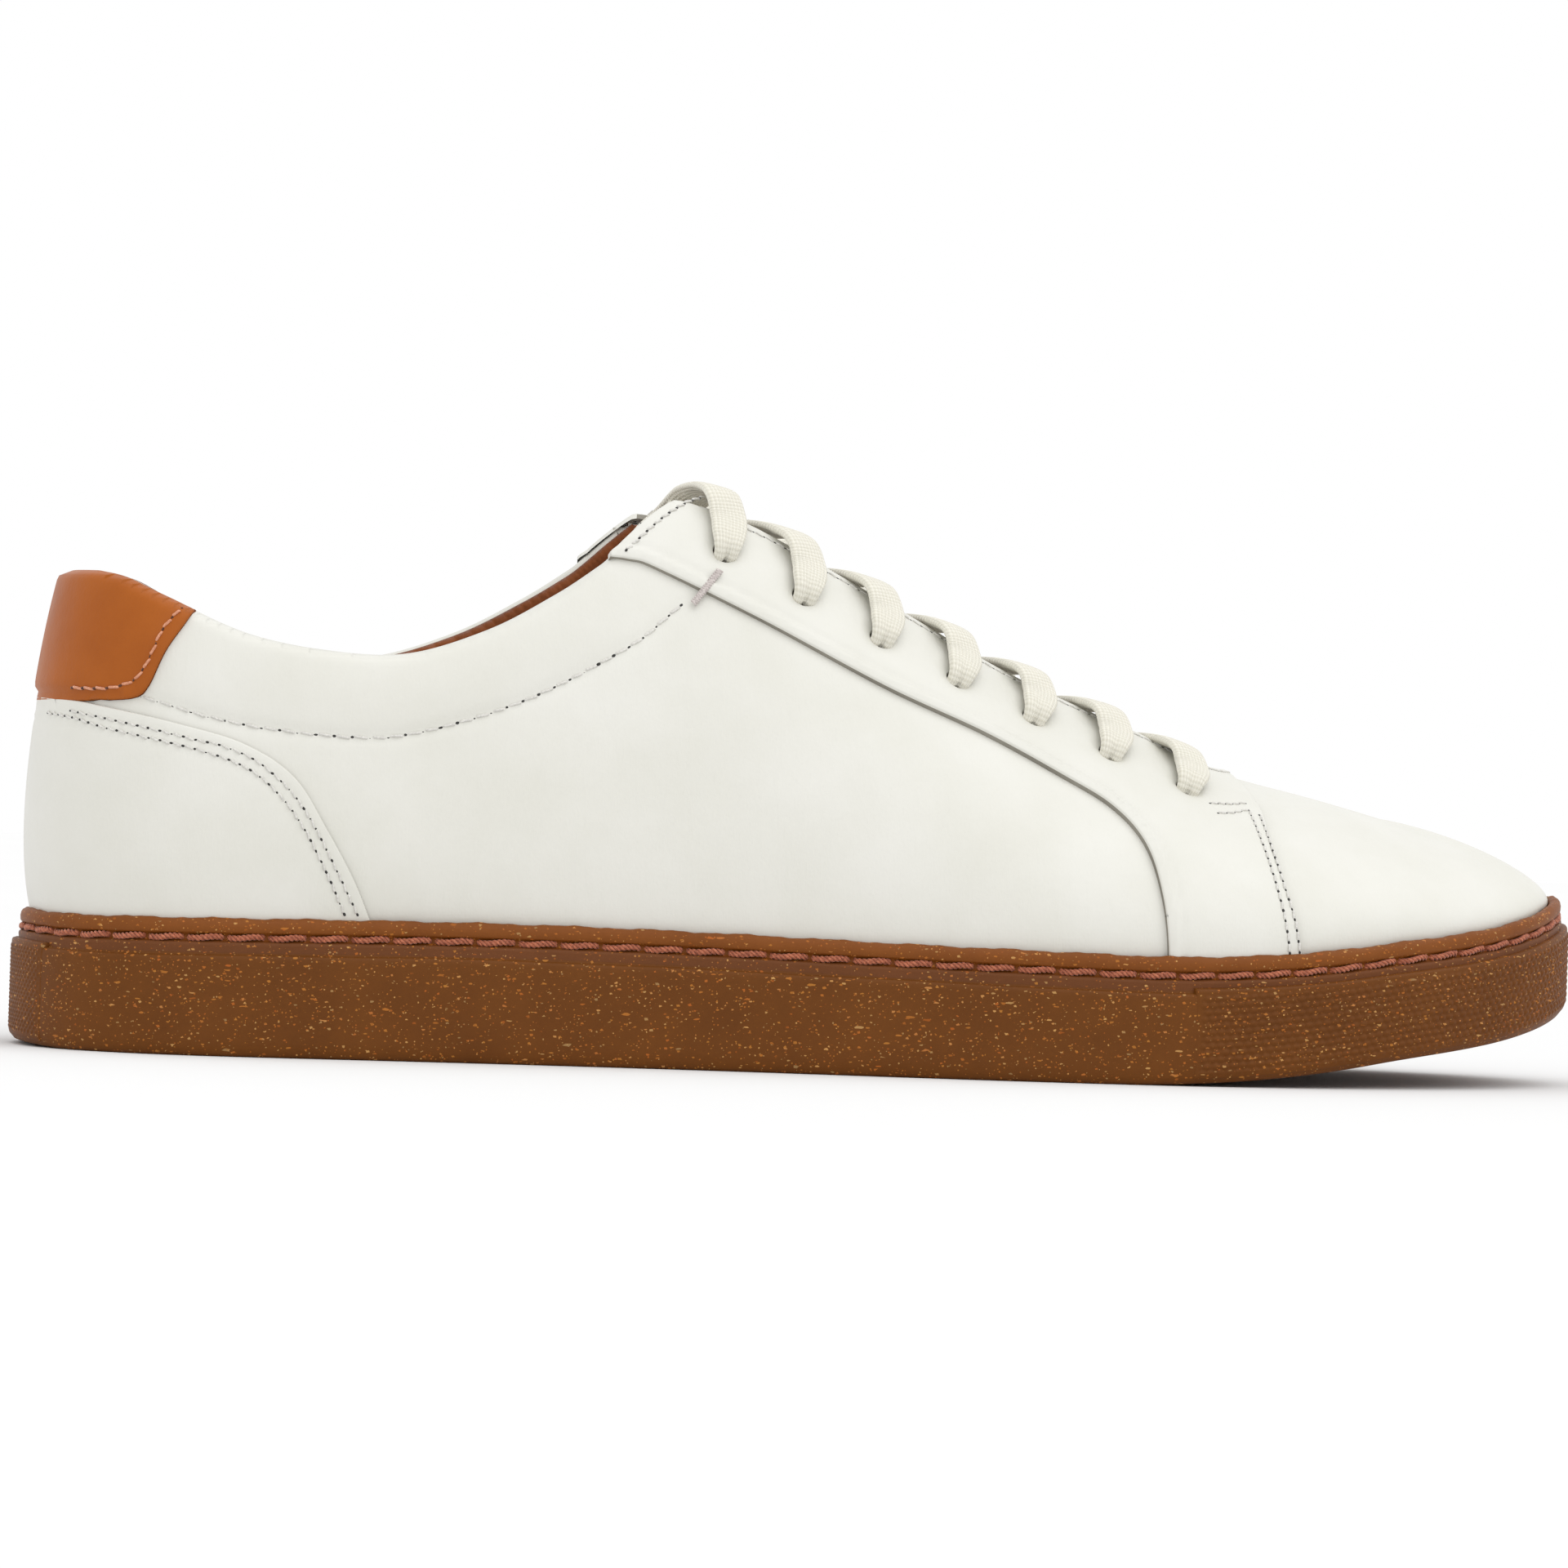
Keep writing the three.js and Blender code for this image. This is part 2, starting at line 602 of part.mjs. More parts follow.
const eyestayRegion = [
  ...seamLine, [209.6, 0], [235.8, 0], ...[...frontLine].reverse(), [EYESTAY_FRONT[0][0], OVERHEAD],
  [100, OVERHEAD], [100, EYESTAY_SEAM[0][1]],
];
const sideNames = { '-1': 'lateral', 1: 'medial' };
for (const side of [-1, 1]) {
  const name = sideNames[side];
  const quarter = leather.intersect(sideRegion(behindVamp, side)).subtract(pins[side]);
  add(`quarter_${name}`, geometryOf(mainBody(quarter)), WHITE, 0.45);
  const eyestay = overlay.intersect(sideRegion(eyestayRegion, side)).subtract(pins[side]);
  add(`eyestay_${name}`, geometryOf(mainBody(eyestay)), WHITE, 0.45);
  const strip = [...shifted(seamLine, 3).slice(2, 10), [196, OVERHEAD], [124, OVERHEAD]];
  const reinforcement = stiffener.intersect(sideRegion(strip, side)).subtract(pins[side]);
  add(`eyelet_reinforcement_${name}`, geometryOf(mainBody(reinforcement)), 0xcfcabc, 0.9);
}
add('toe_vamp', geometryOf(mainBody(leather.intersect(allVamp))), WHITE, 0.45);

const counterRegion = [...counterLine, [65, BELOW_SOLE], [BEHIND, BELOW_SOLE], [BEHIND, COUNTER_EDGE[0][1]]];
add('counter_overlay', geometryOf(overlay.intersect(sidePrism(counterRegion, -FAR, FAR))), WHITE, 0.45);
const tabRegion = [...tabLine, [BEHIND, 64.2], [BEHIND, OVERHEAD], [HEEL_TAB_EDGE[0][0], OVERHEAD]];
add('heel_tab', geometryOf(overlay.intersect(sidePrism(tabRegion, -FAR, FAR))), TAN, 0.5);

// Stiffeners and foam, sealed between the leather and the lining.
const STIFFENER_FRONT = 72;
const stitchBelow = shifted(stitchLine, -1.5);
const counterCore = [
  ...stitchBelow.filter((p) => p[0] < STIFFENER_FRONT), [STIFFENER_FRONT, 0], [BEHIND, 0], [BEHIND, 64],
];
const counterStiffener = stiffener.intersect(sidePrism(counterCore, -FAR, FAR));
add('heel_counter_stiffener', geometryOf(counterStiffener), 0xb9ab8c, 0.9);
const stitchAbove = shifted(stitchLine, 1);
// Foam is trimmed low behind the heel, where the collar edge closes to a point.
const FOAM_LOW = 67;
const FOAM_TRIM = 82;
const FOAM_TRIM_FRONT = 20;
const FOAM_FRONT = 117;
const foamRegion = [
  [BEHIND, FOAM_LOW], ...stitchAbove.slice(1, -1), [FOAM_FRONT, OVERHEAD], [FOAM_TRIM_FRONT, OVERHEAD],
  [FOAM_TRIM_FRONT, FOAM_TRIM], [BEHIND, FOAM_TRIM],
];
const foam = stiffener.intersect(sidePrism(foamRegion, -FAR, FAR));
add('collar_foam', geometryOf(mainBody(foam)), 0xe0d28c, 0.95);
const PUFF_START = 248;
const puffRegion = [[PUFF_START, 0], [AHEAD, 0], [AHEAD, OVERHEAD], [PUFF_START, OVERHEAD]];
add('toe_puff', geometryOf(mainBody(stiffener.intersect(sidePrism(puffRegion, -FAR, FAR)))), 0xb9ab8c, 0.9);

// Lining in four panels: heel grip, both quarters, and the vamp.
const HEEL_LINING_FRONT = 44;
const heelLiningRegion = [
  [BEHIND, 0], [HEEL_LINING_FRONT, 0], [HEEL_LINING_FRONT, OVERHEAD], [BEHIND, OVERHEAD],
];
add('heel_lining', geometryOf(lining.intersect(sidePrism(heelLiningRegion, -FAR, FAR))), SUEDE, 0.9);
const quarterLiningRegion = [
  [HEEL_LINING_FRONT + GAP, 0], ...[...vampLine].reverse(), [vampLine[0][0], OVERHEAD],
  [HEEL_LINING_FRONT + GAP, OVERHEAD],
];
for (const side of [-1, 1]) {
  const panel = lining.intersect(sideRegion(quarterLiningRegion, side)).subtract(pins[side]);
  add(`quarter_lining_${sideNames[side]}`, geometryOf(mainBody(panel)), SUEDE, 0.9);
}
add('vamp_lining', geometryOf(mainBody(lining.intersect(allVamp))), 0xa9754a, 0.9);

// ---------------------------------------------------------------- sole unit
// Slab across the shoe between two heights over the underside, inside the outline by a distance.
function slab(distance, low, high, toeRoom) {
  const points = [];
  const corner = (x, side, height) => {
    const t = sideParameter(x, side);
    const p = inset(t, distance + toeRoom * THREE.MathUtils.smoothstep(x, 250, TOE_X));
    return new THREE.Vector3(p[0], p[1], underside(x) + height);
  };
  const triangles = [];
  const quad = (a, b, c, d) => {
    const start = points.length;
    points.push(a, b, c, d);
    triangles.push(start, start + 1, start + 2, start, start + 2, start + 3);
  };
  for (let i = 0; i < STATIONS; i += 1) {
    const [a, b] = [sections[i], sections[i + 1]];
    quad(corner(a, -1, high), corner(b, -1, high), corner(b, 1, high), corner(a, 1, high));
    quad(corner(a, -1, low), corner(a, 1, low), corner(b, 1, low), corner(b, -1, low));
    quad(corner(a, -1, low), corner(b, -1, low), corner(b, -1, high), corner(a, -1, high));
    quad(corner(b, 1, low), corner(a, 1, low), corner(a, 1, high), corner(b, 1, high));
  }
  return solidOf(geometryFrom(points, triangles));
}

// Profile of the cupsole at one place: distance in from the outline, and height over the underside.
function soleProfile(wall) {
  const ledge = wall - PANEL_TOP;
  const low = wall - GROOVE_LOW;
  const high = wall - GROOVE_HIGH;
  const groove = BAND_INSET + GROOVE_DEPTH;
  return [
    [2.2, 0], [0.7, 0.5], [0.1, 1.8], [0, ledge - 0.4], [0.6, ledge], [BAND_INSET - 0.2, ledge + 0.3],
    [BAND_INSET, low - 0.2], [groove, low + 0.2], [groove, high - 0.2], [BAND_INSET + 0.2, high + 0.1],
    [2.2, wall - 1.1], [3.2, wall - 0.1], [UPPER_INSET - GAP, wall], [UPPER_INSET - GAP, OUTSOLE_FLOOR],
  ];
}

function aroundSections() {
  const list = [];
  for (let i = 0; i <= STATIONS; i += 1) list.push([sections[i], -1]);
  for (let i = STATIONS - 1; i > 0; i -= 1) list.push([sections[i], 1]);
  return list;
}

function cupsole() {
  const points = [];
  const triangles = [];
  const at = (x, side, [distance, height]) => {
    const p = inset(sideParameter(x, side), distance);
    return new THREE.Vector3(p[0], p[1], underside(x) + height);
  };
  const quad = (a, b, c, d) => {
    const start = points.length;
    points.push(a, b, c, d);
    triangles.push(start, start + 1, start + 2, start, start + 2, start + 3);
  };
  const around = aroundSections();
  for (let i = 0; i < around.length; i += 1) {
    const [xa, sa] = around[i];
    const [xb, sb] = around[(i + 1) % around.length];
    const pa = soleProfile(wallHeight(xa));
    const pb = soleProfile(wallHeight(xb));
    for (let k = 0; k < pa.length - 1; k += 1) {
      quad(at(xa, sa, pa[k]), at(xb, sb, pb[k]), at(xb, sb, pb[k + 1]), at(xa, sa, pa[k + 1]));
    }
  }
  for (let i = 0; i < STATIONS; i += 1) {
    const [a, b] = [sections[i], sections[i + 1]];
    const pa = soleProfile(wallHeight(a));
    const pb = soleProfile(wallHeight(b));
    const top = pa.length - 1;
    quad(at(a, -1, pa[top]), at(b, -1, pb[top]), at(b, 1, pb[top]), at(a, 1, pa[top]));
    quad(at(a, -1, pa[0]), at(a, 1, pa[0]), at(b, 1, pb[0]), at(b, -1, pb[0]));
  }
  return solidOf(geometryFrom(points, triangles));
}

// Thread ring that fills the groove all round the sidewall.
function stitchRing() {
  const middle = (GROOVE_LOW + GROOVE_HIGH) / 2;
  const centreInset = 1.7 + GROOVE_DEPTH / 2 - 0.05;
  const rings = aroundSections().map(([x, side]) => {
    const t = sideParameter(x, side);
    const points = [];
    for (let k = 0; k < 6; k += 1) {
      const angle = Math.PI * k / 3;
      const p = inset(t, centreInset + STITCH_RADIUS * 0.7 * Math.cos(angle));
      points.push(new THREE.Vector3(p[0], p[1], soleTop(x) - middle + STITCH_RADIUS * 0.7 * Math.sin(angle)));
    }
    return points;
  });
  return loft(rings, true);
}

const LINING_EDGE = UPPER_INSET + LINING[1] + GAP;
const TOE_ROOM = 4;             // the footbed stops short of the low tip of the toe
add('cupsole', geometryOf(cupsole()), GUM, 0.7);
add('sidewall_stitch', stitchRing(), 0xb5643f, 0.6);
add('midsole_filler', geometryOf(slab(UPPER_INSET, OUTSOLE_FLOOR + GAP, FILLER_TOP, 0)), 0xd8cfc0, 0.9);
add('insole_board', geometryOf(slab(LINING_EDGE, FILLER_TOP + GAP, BOARD_TOP, 0)), 0xc8b48e, 0.9);
add('footbed_foam', geometryOf(slab(LINING_EDGE, BOARD_TOP + GAP, FOOTBED_TOP, TOE_ROOM)), 0x6b6b66, 0.95);
add('footbed_cover', geometryOf(slab(LINING_EDGE, FOOTBED_TOP + GAP, COVER_TOP, TOE_ROOM)), SUEDE, 0.8);

// ---------------------------------------------------------------- tongue
const TONGUE_TOP = 122;
const TONGUE_ROOT = 226;
const TONGUE_MARGIN = 11;       // how far it reaches under the facings
const TONGUE_NARROWS = 200;     // and it narrows towards the toe from here
const TONGUE_FLOOR = [[100, 84], [240, 38]];  // the shell under this line isn't tongue
function tongueRegion() {
  const lateral = [];
  const medial = [];
  for (let i = 0; i <= 10; i += 1) {
    const x = TONGUE_TOP + (TONGUE_ROOT - TONGUE_TOP) * i / 10;
    const narrow = THREE.MathUtils.smoothstep(x, TONGUE_NARROWS, TONGUE_ROOT + 10) * 6;
    const half = throatWidth(x) + TONGUE_MARGIN - narrow;
    const round = i === 0 ? 5 : 0;
    lateral.push([x, spineSideways(x) - half + round]);
    medial.push([x, spineSideways(x) + half - round]);
  }
  const topOnly = sidePrism([...TONGUE_FLOOR, [240, OVERHEAD], [100, OVERHEAD]], -FAR, FAR);
  return planPrism([...lateral, ...medial.reverse()], 20, OVERHEAD).intersect(topOnly);
}
const tongueArea = tongueRegion();
const TONGUE_LAYERS = [
  ['tongue_leather', TONGUE_LEATHER, WHITE], ['tongue_padding', TONGUE_PADDING, 0xe0d28c],
  ['tongue_lining', TONGUE_LINING, SUEDE],
];
for (const [name, depths, color] of TONGUE_LAYERS) {
  add(name, geometryOf(mainBody(shell(...depths).intersect(tongueArea))), color, 0.6);
}

// ---------------------------------------------------------------- lacing
const LACE_THICKNESS = 1.2;
const LACE_WIDTH = 6;
const LACE_NECK = 2.6;          // width of the lace squeezed into an eyelet
const OVER = -3.2;              // depth of the lace's middle over a facing
const BELOW = 5.3;              // and between the lining and the tongue
const HALF_LACE = 0.95;         // half the height difference where two strands cross
const EDGE_STEP = 0.15;         // from an eyelet up to the edge of its facing, as height on the skin

const eyeletAt = (i) => eyeletPlace[Math.min(Math.max(i, 0), EYELET_COUNT - 1)];

function mark(footX, side, v, depth, width) {
  return { p: under(footX, side, v, depth), n: skinNormal(footX, side, v), w: width };
}

// Route points of one strand. It comes up through each eyelet, crosses the throat over its own facing and
// goes under the opposite one to the next eyelet towards the ankle.
function strand(startSide, lift) {
  const route = [];
  let side = startSide;
  for (let i = EYELET_COUNT - 1; i >= 0; i -= 1) {
    const [u, v] = eyeletAt(i);
    const travel = skin(u - 3, side, v + 0.06).sub(skin(u, side, v)).normalize();
    route.push({ p: under(u + 0.6, side, v - 0.008, BELOW), n: travel.clone(), w: LACE_NECK });
    route.push({ p: under(u, side, v, 2.4), n: travel.clone(), w: LACE_NECK });
    route.push({ p: under(u, side, v, -1.2), n: travel.clone(), w: LACE_NECK });
    route.push(mark(u - 0.9, side, v + 0.02, OVER - 0.5, LACE_NECK));
    route.push(mark(u - 2.2, side, v + 0.07, OVER - 0.3, LACE_WIDTH - 1));
    const [nextU, nextV] = i > 0 ? eyeletAt(i - 1) : [u - 5, v + 0.02];
    const edge = mark(u * 0.7 + nextU * 0.3, side, v + EDGE_STEP, OVER - 1.1, LACE_WIDTH);
    const inner = mark(u * 0.3 + nextU * 0.7, -side, nextV + EDGE_STEP, BELOW + 0.5, LACE_WIDTH);
    const middle = edge.p.clone().add(inner.p).multiplyScalar(0.5);
    middle.z += 1 + lift * HALF_LACE * (i % 2 === 0 ? 1 : -1);
    route.push(edge);
    route.push({ p: middle, n: skinNormal(u * 0.5 + nextU * 0.5, -1, 0.97), w: LACE_WIDTH });
    route.push(inner);
    side = -side;
  }
  return [...route, ...looseEnd(side)];
}

// The free end drops behind the facing and lies along the footbed against the wall.
const END_DROP = [
  [113, 0.74, 6.8], [112, 0.62, 7.6], [108, 0.5, 8.6], [103, 0.38, 9], [97, 0.27, 8.9], [90, 0.16, 8.8],
  [82, 0.06, 8.4],
];
const END_FLOOR = [73, 62, 51, 40];
const END_INSET = 13.5;
const END_LIFT = 1.5;

function floorPoint(x, side, lift) {
  const p = inset(sideParameter(x, side), END_INSET);
  return new THREE.Vector3(p[0], p[1], underside(x) + COVER_TOP + lift);
}

function looseEnd(side) {
  const drop = END_DROP.map(([u, v, depth]) => mark(u, side, v, depth, LACE_WIDTH - 1));
  const up = new THREE.Vector3(0, 0, 1);
  const floor = END_FLOOR.map((x, i) => {
    const width = i === END_FLOOR.length - 1 ? LACE_NECK : LACE_WIDTH - 1;
    return { p: floorPoint(x, side, END_LIFT), n: up, w: width };
  });
  return [...drop, ...floor];
}

// Flat band along route points, with a four sided section.
function band(route) {
  const line = new THREE.CatmullRomCurve3(route.map((r) => r.p), false, 'centripetal');
  const steps = (route.length - 1) * 2;
  const rings = [];
  for (let i = 0; i <= steps; i += 1) {
    const f = i / steps;
    const k = Math.min(Math.floor(f * (route.length - 1)), route.length - 2);
    const g = f * (route.length - 1) - k;
    const normal = route[k].n.clone().lerp(route[k + 1].n, g);
    const heading = line.getTangent(f);
    const sideways = new THREE.Vector3().crossVectors(heading, normal).normalize();
    const up = new THREE.Vector3().crossVectors(sideways, heading).normalize();
    const width = THREE.MathUtils.lerp(route[k].w, route[k + 1].w, g) / 2;
    const half = LACE_THICKNESS / 2;
    const centre = line.getPoint(f);
    const corners = [[1, 1], [-1, 1], [-1, -1], [1, -1]];
    rings.push(corners.map(([a, b]) => (
      centre.clone().addScaledVector(sideways, a * width).addScaledVector(up, b * half))));
  }
  return loft(rings, false);
}

const barX = eyeletAt(EYELET_COUNT - 1)[0] + 1;
const bottomBar = mark(barX, -1, 1, BELOW + 0.2, LACE_WIDTH);
const barLateral = mark(barX, -1, 0.8, BELOW, LACE_WIDTH);
const barMedial = mark(barX, 1, 0.8, BELOW, LACE_WIDTH);
const laceRoute = [...strand(1, -1).reverse(), barMedial, bottomBar, barLateral, ...strand(-1, 1)];
add('lace', band(laceRoute), 0xece9dc, 0.8);

// Tipped ends of the lace, lying on the footbed.
const AGLET_LENGTH = 14;
const AGLET_RADIUS = 1.3;
for (const side of [-1, 1]) {
  const x = END_FLOOR[END_FLOOR.length - 1];
  const from = floorPoint(x, side, AGLET_RADIUS + GAP);
  const before = floorPoint(x + 4, side, AGLET_RADIUS + GAP);
  const heading = from.clone().sub(before).setZ(0).normalize();
  const aglet = new THREE.CylinderGeometry(AGLET_RADIUS, AGLET_RADIUS * 0.85, AGLET_LENGTH, 10);
  aglet.applyQuaternion(new THREE.Quaternion().setFromUnitVectors(new THREE.Vector3(0, -1, 0), heading));
  const centre = from.addScaledVector(heading, AGLET_LENGTH / 2 + GAP);
  aglet.translate(centre.x, centre.y, centre.z);
  add(`aglet_${sideNames[-side]}`, aglet, 0xdedbd0, 0.35);
}

// Bartacks that lock the collar stitching at the facing.
const TACK_PLACE = [121.8, 84.6];
for (const side of [-1, 1]) {
  const [u, v] = onSide(...TACK_PLACE, side);
  const tack = new THREE.BoxGeometry(3.6, 1.3, 0.6);
  const normal = skinNormal(u, side, v);
  const forward = skin(u + 2, side, v + 0.035).sub(skin(u, side, v)).normalize();
  const across = new THREE.Vector3().crossVectors(normal, forward).normalize();
  const upward = new THREE.Vector3().crossVectors(forward, across);
  tack.applyMatrix4(new THREE.Matrix4().makeBasis(forward, across, upward));
  const place = under(u, side, v, -0.85);
  tack.translate(place.x, place.y, place.z);
  add(`bartack_${sideNames[side]}`, tack, 0xa99aa0, 0.6);
}

// ---------------------------------------------------------------- assembly
const shoe = new THREE.Group();
for (const mesh of nodes) shoe.add(mesh);
const size = new THREE.Box3().setFromObject(shoe);
shoe.position.set(-(size.min.x + size.max.x) / 2, -(size.min.y + size.max.y) / 2, -size.min.z);
shoe.updateMatrixWorld(true);
export default shoe;
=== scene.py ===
"""Visual model of the court shoe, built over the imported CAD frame.

Shapes are worked out in the part's design millimetres (x from the heel to the toe, -y the lateral side) and
placed in the frame in metres.
"""

import math

import bpy
import numpy as np
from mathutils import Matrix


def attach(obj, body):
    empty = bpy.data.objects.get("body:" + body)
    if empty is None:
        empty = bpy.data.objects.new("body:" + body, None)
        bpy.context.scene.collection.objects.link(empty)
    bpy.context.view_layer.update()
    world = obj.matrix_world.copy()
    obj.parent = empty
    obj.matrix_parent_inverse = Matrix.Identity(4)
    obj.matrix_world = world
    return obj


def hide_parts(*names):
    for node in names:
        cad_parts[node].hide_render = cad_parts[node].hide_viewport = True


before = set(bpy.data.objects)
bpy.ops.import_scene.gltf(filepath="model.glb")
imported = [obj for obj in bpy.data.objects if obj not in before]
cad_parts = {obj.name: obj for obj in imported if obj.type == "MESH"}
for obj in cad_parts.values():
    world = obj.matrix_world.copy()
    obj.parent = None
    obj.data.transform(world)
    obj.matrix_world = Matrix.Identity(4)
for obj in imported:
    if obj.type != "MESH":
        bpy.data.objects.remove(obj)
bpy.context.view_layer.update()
SHIFT = np.array([-150.119, 0.7297, 0.0])  # design millimetres to the frame
rng = np.random.default_rng(7)

# ---------------------------------------------------------------- shape of the part, as in part.mjs
SOLE_OUTLINE = [
    [0, 0], [5, -19], [22, -33], [50, -36.8], [85, -37.4], [120, -40.5], [155, -46.5], [188, -51.6],
    [220, -52], [250, -46], [275, -34], [292, -18], [300, 2], [297, 21], [283, 36.5], [259, 46.5],
    [230, 51], [200, 49.8], [170, 44], [138, 37.5], [104, 34], [70, 35], [40, 36.3], [16, 29.5], [3.6, 15.5],
]
TOE_SPRING_START = 198
TOE_SPRING_RISE = 17
TOE_BLUNT = (250, 292)  # the lift slackens between these, by
TOE_DROP = 2.6
HEEL_ROLL = 12
UPPER_INSET = 4.4
WALL_HEIGHT = [
    [0, 24.6], [45, 25.2], [90, 25.6], [130, 25.1], [160, 24.4], [200, 23.7], [240, 22.5], [270, 21.8],
    [300, 22.1],
]
PANEL_TOP = 6.6
GROOVE_LOW = 4.3
GROOVE_HIGH = 2.7
GROOVE_DEPTH = 1.3
COVER_TOP = 20.0
COLLAR_PADDING = 3.0
RIDGE = [
    [37, 125.5], [62, 124.5], [90, 121.5], [115, 113.5], [133, 105.5], [146, 98], [165, 88], [181, 79.7],
    [200, 71.6], [213, 66], [227, 59], [235, 56.6], [245, 54.4], [262, 50.2],
]
COLLAR = [
    [9, 87], [12, 88], [17, 86.8], [24, 83.6], [39, 77.5], [54, 74.9], [69, 74.9], [84, 80], [96, 86.8],
    [104, 92.3], [107, 94.8], [112, 99.4], [116.5, 103], [121.5, 105.6], [126, 106.5], [131, 106.2], [140, 104],
]
EYESTAY_SEAM = [
    [105.3, 94], [110, 93.5], [115, 92.2], [134.5, 83.3], [158, 71.6], [177, 63.6], [191.5, 56.2],
    [200.6, 50.8], [206, 44.1], [208.3, 34.2], [209.6, 20],
]
EYESTAY_FRONT = [[229.6, 60], [231.6, 50.7], [230.6, 43.1], [231.9, 36.5], [233.2, 29.5], [235.4, 20]]
COUNTER_EDGE = [
    [-4, 63.2], [11.7, 63], [26.7, 59.8], [38.8, 56.5], [47.9, 50.9], [54.1, 41.7], [59.9, 31.6], [65, 20],
]
HEEL_TAB_EDGE = [[30.2, 86], [28.9, 80.5], [24.7, 73.5], [21.7, 66.9], [19.3, 64.8], [15, 64.2], [-4, 64.2]]
COLLAR_STITCH = [
    [20.3, 64.8], [37.2, 60.6], [57.1, 58.8], [70.6, 60], [90.6, 66.7], [109.8, 77.3], [122, 87.5],
]
EYELETS = [[128.2, 95.2], [171.6, 73.5], [217.1, 54.1]]
EYELET_COUNT = 7
EYELET_RADIUS = 2.5
THROAT = [[104, 16], [127, 13], [165, 13], [200, 14], [218, 13]]
THROAT_END = 231
SPINE_SIDEWAYS = [[37, 0], [80, -0.5], [130, -0.5], [180, 2.5], [220, 5], [262, 5.5]]
SPINE_BACK = 37
SPINE_FRONT = 262
SECTION_X = [4, 40, 80, 120, 160, 200, 240, 270, 296]


def natural(points):
    """Natural cubic through points, held level outside them."""
    x, y = np.array(points, float).T
    n = len(x)
    h = np.diff(x)
    a = np.eye(n)
    r = np.zeros(n)
    for i in range(1, n - 1):
        a[i, i - 1 : i + 2] = h[i - 1], 2 * (h[i - 1] + h[i]), h[i]
        r[i] = 6 * ((y[i + 1] - y[i]) / h[i] - (y[i] - y[i - 1]) / h[i - 1])
    bend = np.linalg.solve(a, r)

    def at(v):
        v = np.clip(v, x[0], x[-1])
        i = np.clip(np.searchsorted(x, v, side="right") - 1, 0, n - 2)
        b = (v - x[i]) / h[i]
        a = 1 - b
        return a * y[i] + b * y[i + 1] + ((a**3 - a) * bend[i] + (b**3 - b) * bend[i + 1]) * h[i] ** 2 / 6

    return at


def ring(points):
    """Smooth closed curve through points, parameter 0 to 1."""
    p = np.array(points, float)
    n = len(p)
    step = np.linalg.norm(np.roll(p, -1, 0) - p, axis=1)
    start = np.concatenate([[0], np.cumsum(step)])
    a = np.zeros((n, n))
    r = np.zeros((n, 2))
    for i in range(n):
        before, after = (i - 1) % n, (i + 1) % n
        a[i, before] += step[before]
        a[i, i] += 2 * (step[before] + step[i])
        a[i, after] += step[i]
        r[i] = 6 * ((p[after] - p[i]) / step[i] - (p[i] - p[before]) / step[before])
    bend = np.linalg.solve(a, r)

    def at(t):
        s = (t - np.floor(t)) * start[-1]
        i = np.clip(np.searchsorted(start, s, side="right") - 1, 0, n - 1)
        h = step[i][..., None]
        b = (s - start[i])[..., None] / h
        a = 1 - b
        j = (i + 1) % n
        return a * p[i] + b * p[j] + ((a**3 - a) * bend[i] + (b**3 - b) * bend[j]) * h * h / 6

    return at


outline = ring(SOLE_OUTLINE)
wall_height = natural(WALL_HEIGHT)
ridge = natural(RIDGE)
spine_sideways = natural(SPINE_SIDEWAYS)
throat_width = natural(THROAT)


def along(values):
    return natural(list(zip(SECTION_X, values)))


BULGE = [along([-6, -5.5, -5, -3.5, -3, -2.5, -2.5, -1.5, 0]), along([-6, -5.5, -5.5, -5, -4, -3, -2.5, -1.5, 0])]
RISE = [along([24, 24, 24, 32, 30, 23, 16, 9, 4]), along([24, 24, 24, 32, 32, 25, 17, 9, 4])]
CROWN = [
    along([0.3, 0.35, 0.42, 0.62, 0.52, 0.32, 0.36, 0.45, 0.5]),
    along([0.3, 0.35, 0.42, 0.6, 0.52, 0.32, 0.36, 0.45, 0.5]),
]
droop = along([30, 28, 20, 4, 0, 0, 0, 0, 0])
reach = along([0.27, 0.32, 0.55, 0.95, 1, 1, 1, 1, 1])


def inset(t, distance):
    """Point of the sole's outline moved in by a distance."""
    e = 1e-4
    a, b = outline(t - e), outline(t + e)
    d = b - a
    d /= np.linalg.norm(d, axis=-1, keepdims=True)
    away = np.stack([-d[..., 1], d[..., 0]], -1)
    return outline(t) + np.asarray(distance)[..., None] * away


def underside(x):
    spring = np.maximum((x - TOE_SPRING_START) / 100, 0)
    roll = np.clip((HEEL_ROLL - x) / HEEL_ROLL, 0, 1)
    return TOE_SPRING_RISE * spring**2 - TOE_DROP * smoothstep(x, *TOE_BLUNT) + roll**2


def sole_top(x):
    return underside(x) + wall_height(x)


def unit(v):
    return v / np.maximum(np.linalg.norm(v, axis=-1, keepdims=True), 1e-12)


def smoothstep(x, a, b):
    f = np.clip((x - a) / (b - a), 0, 1)
    return f * f * (3 - 2 * f)


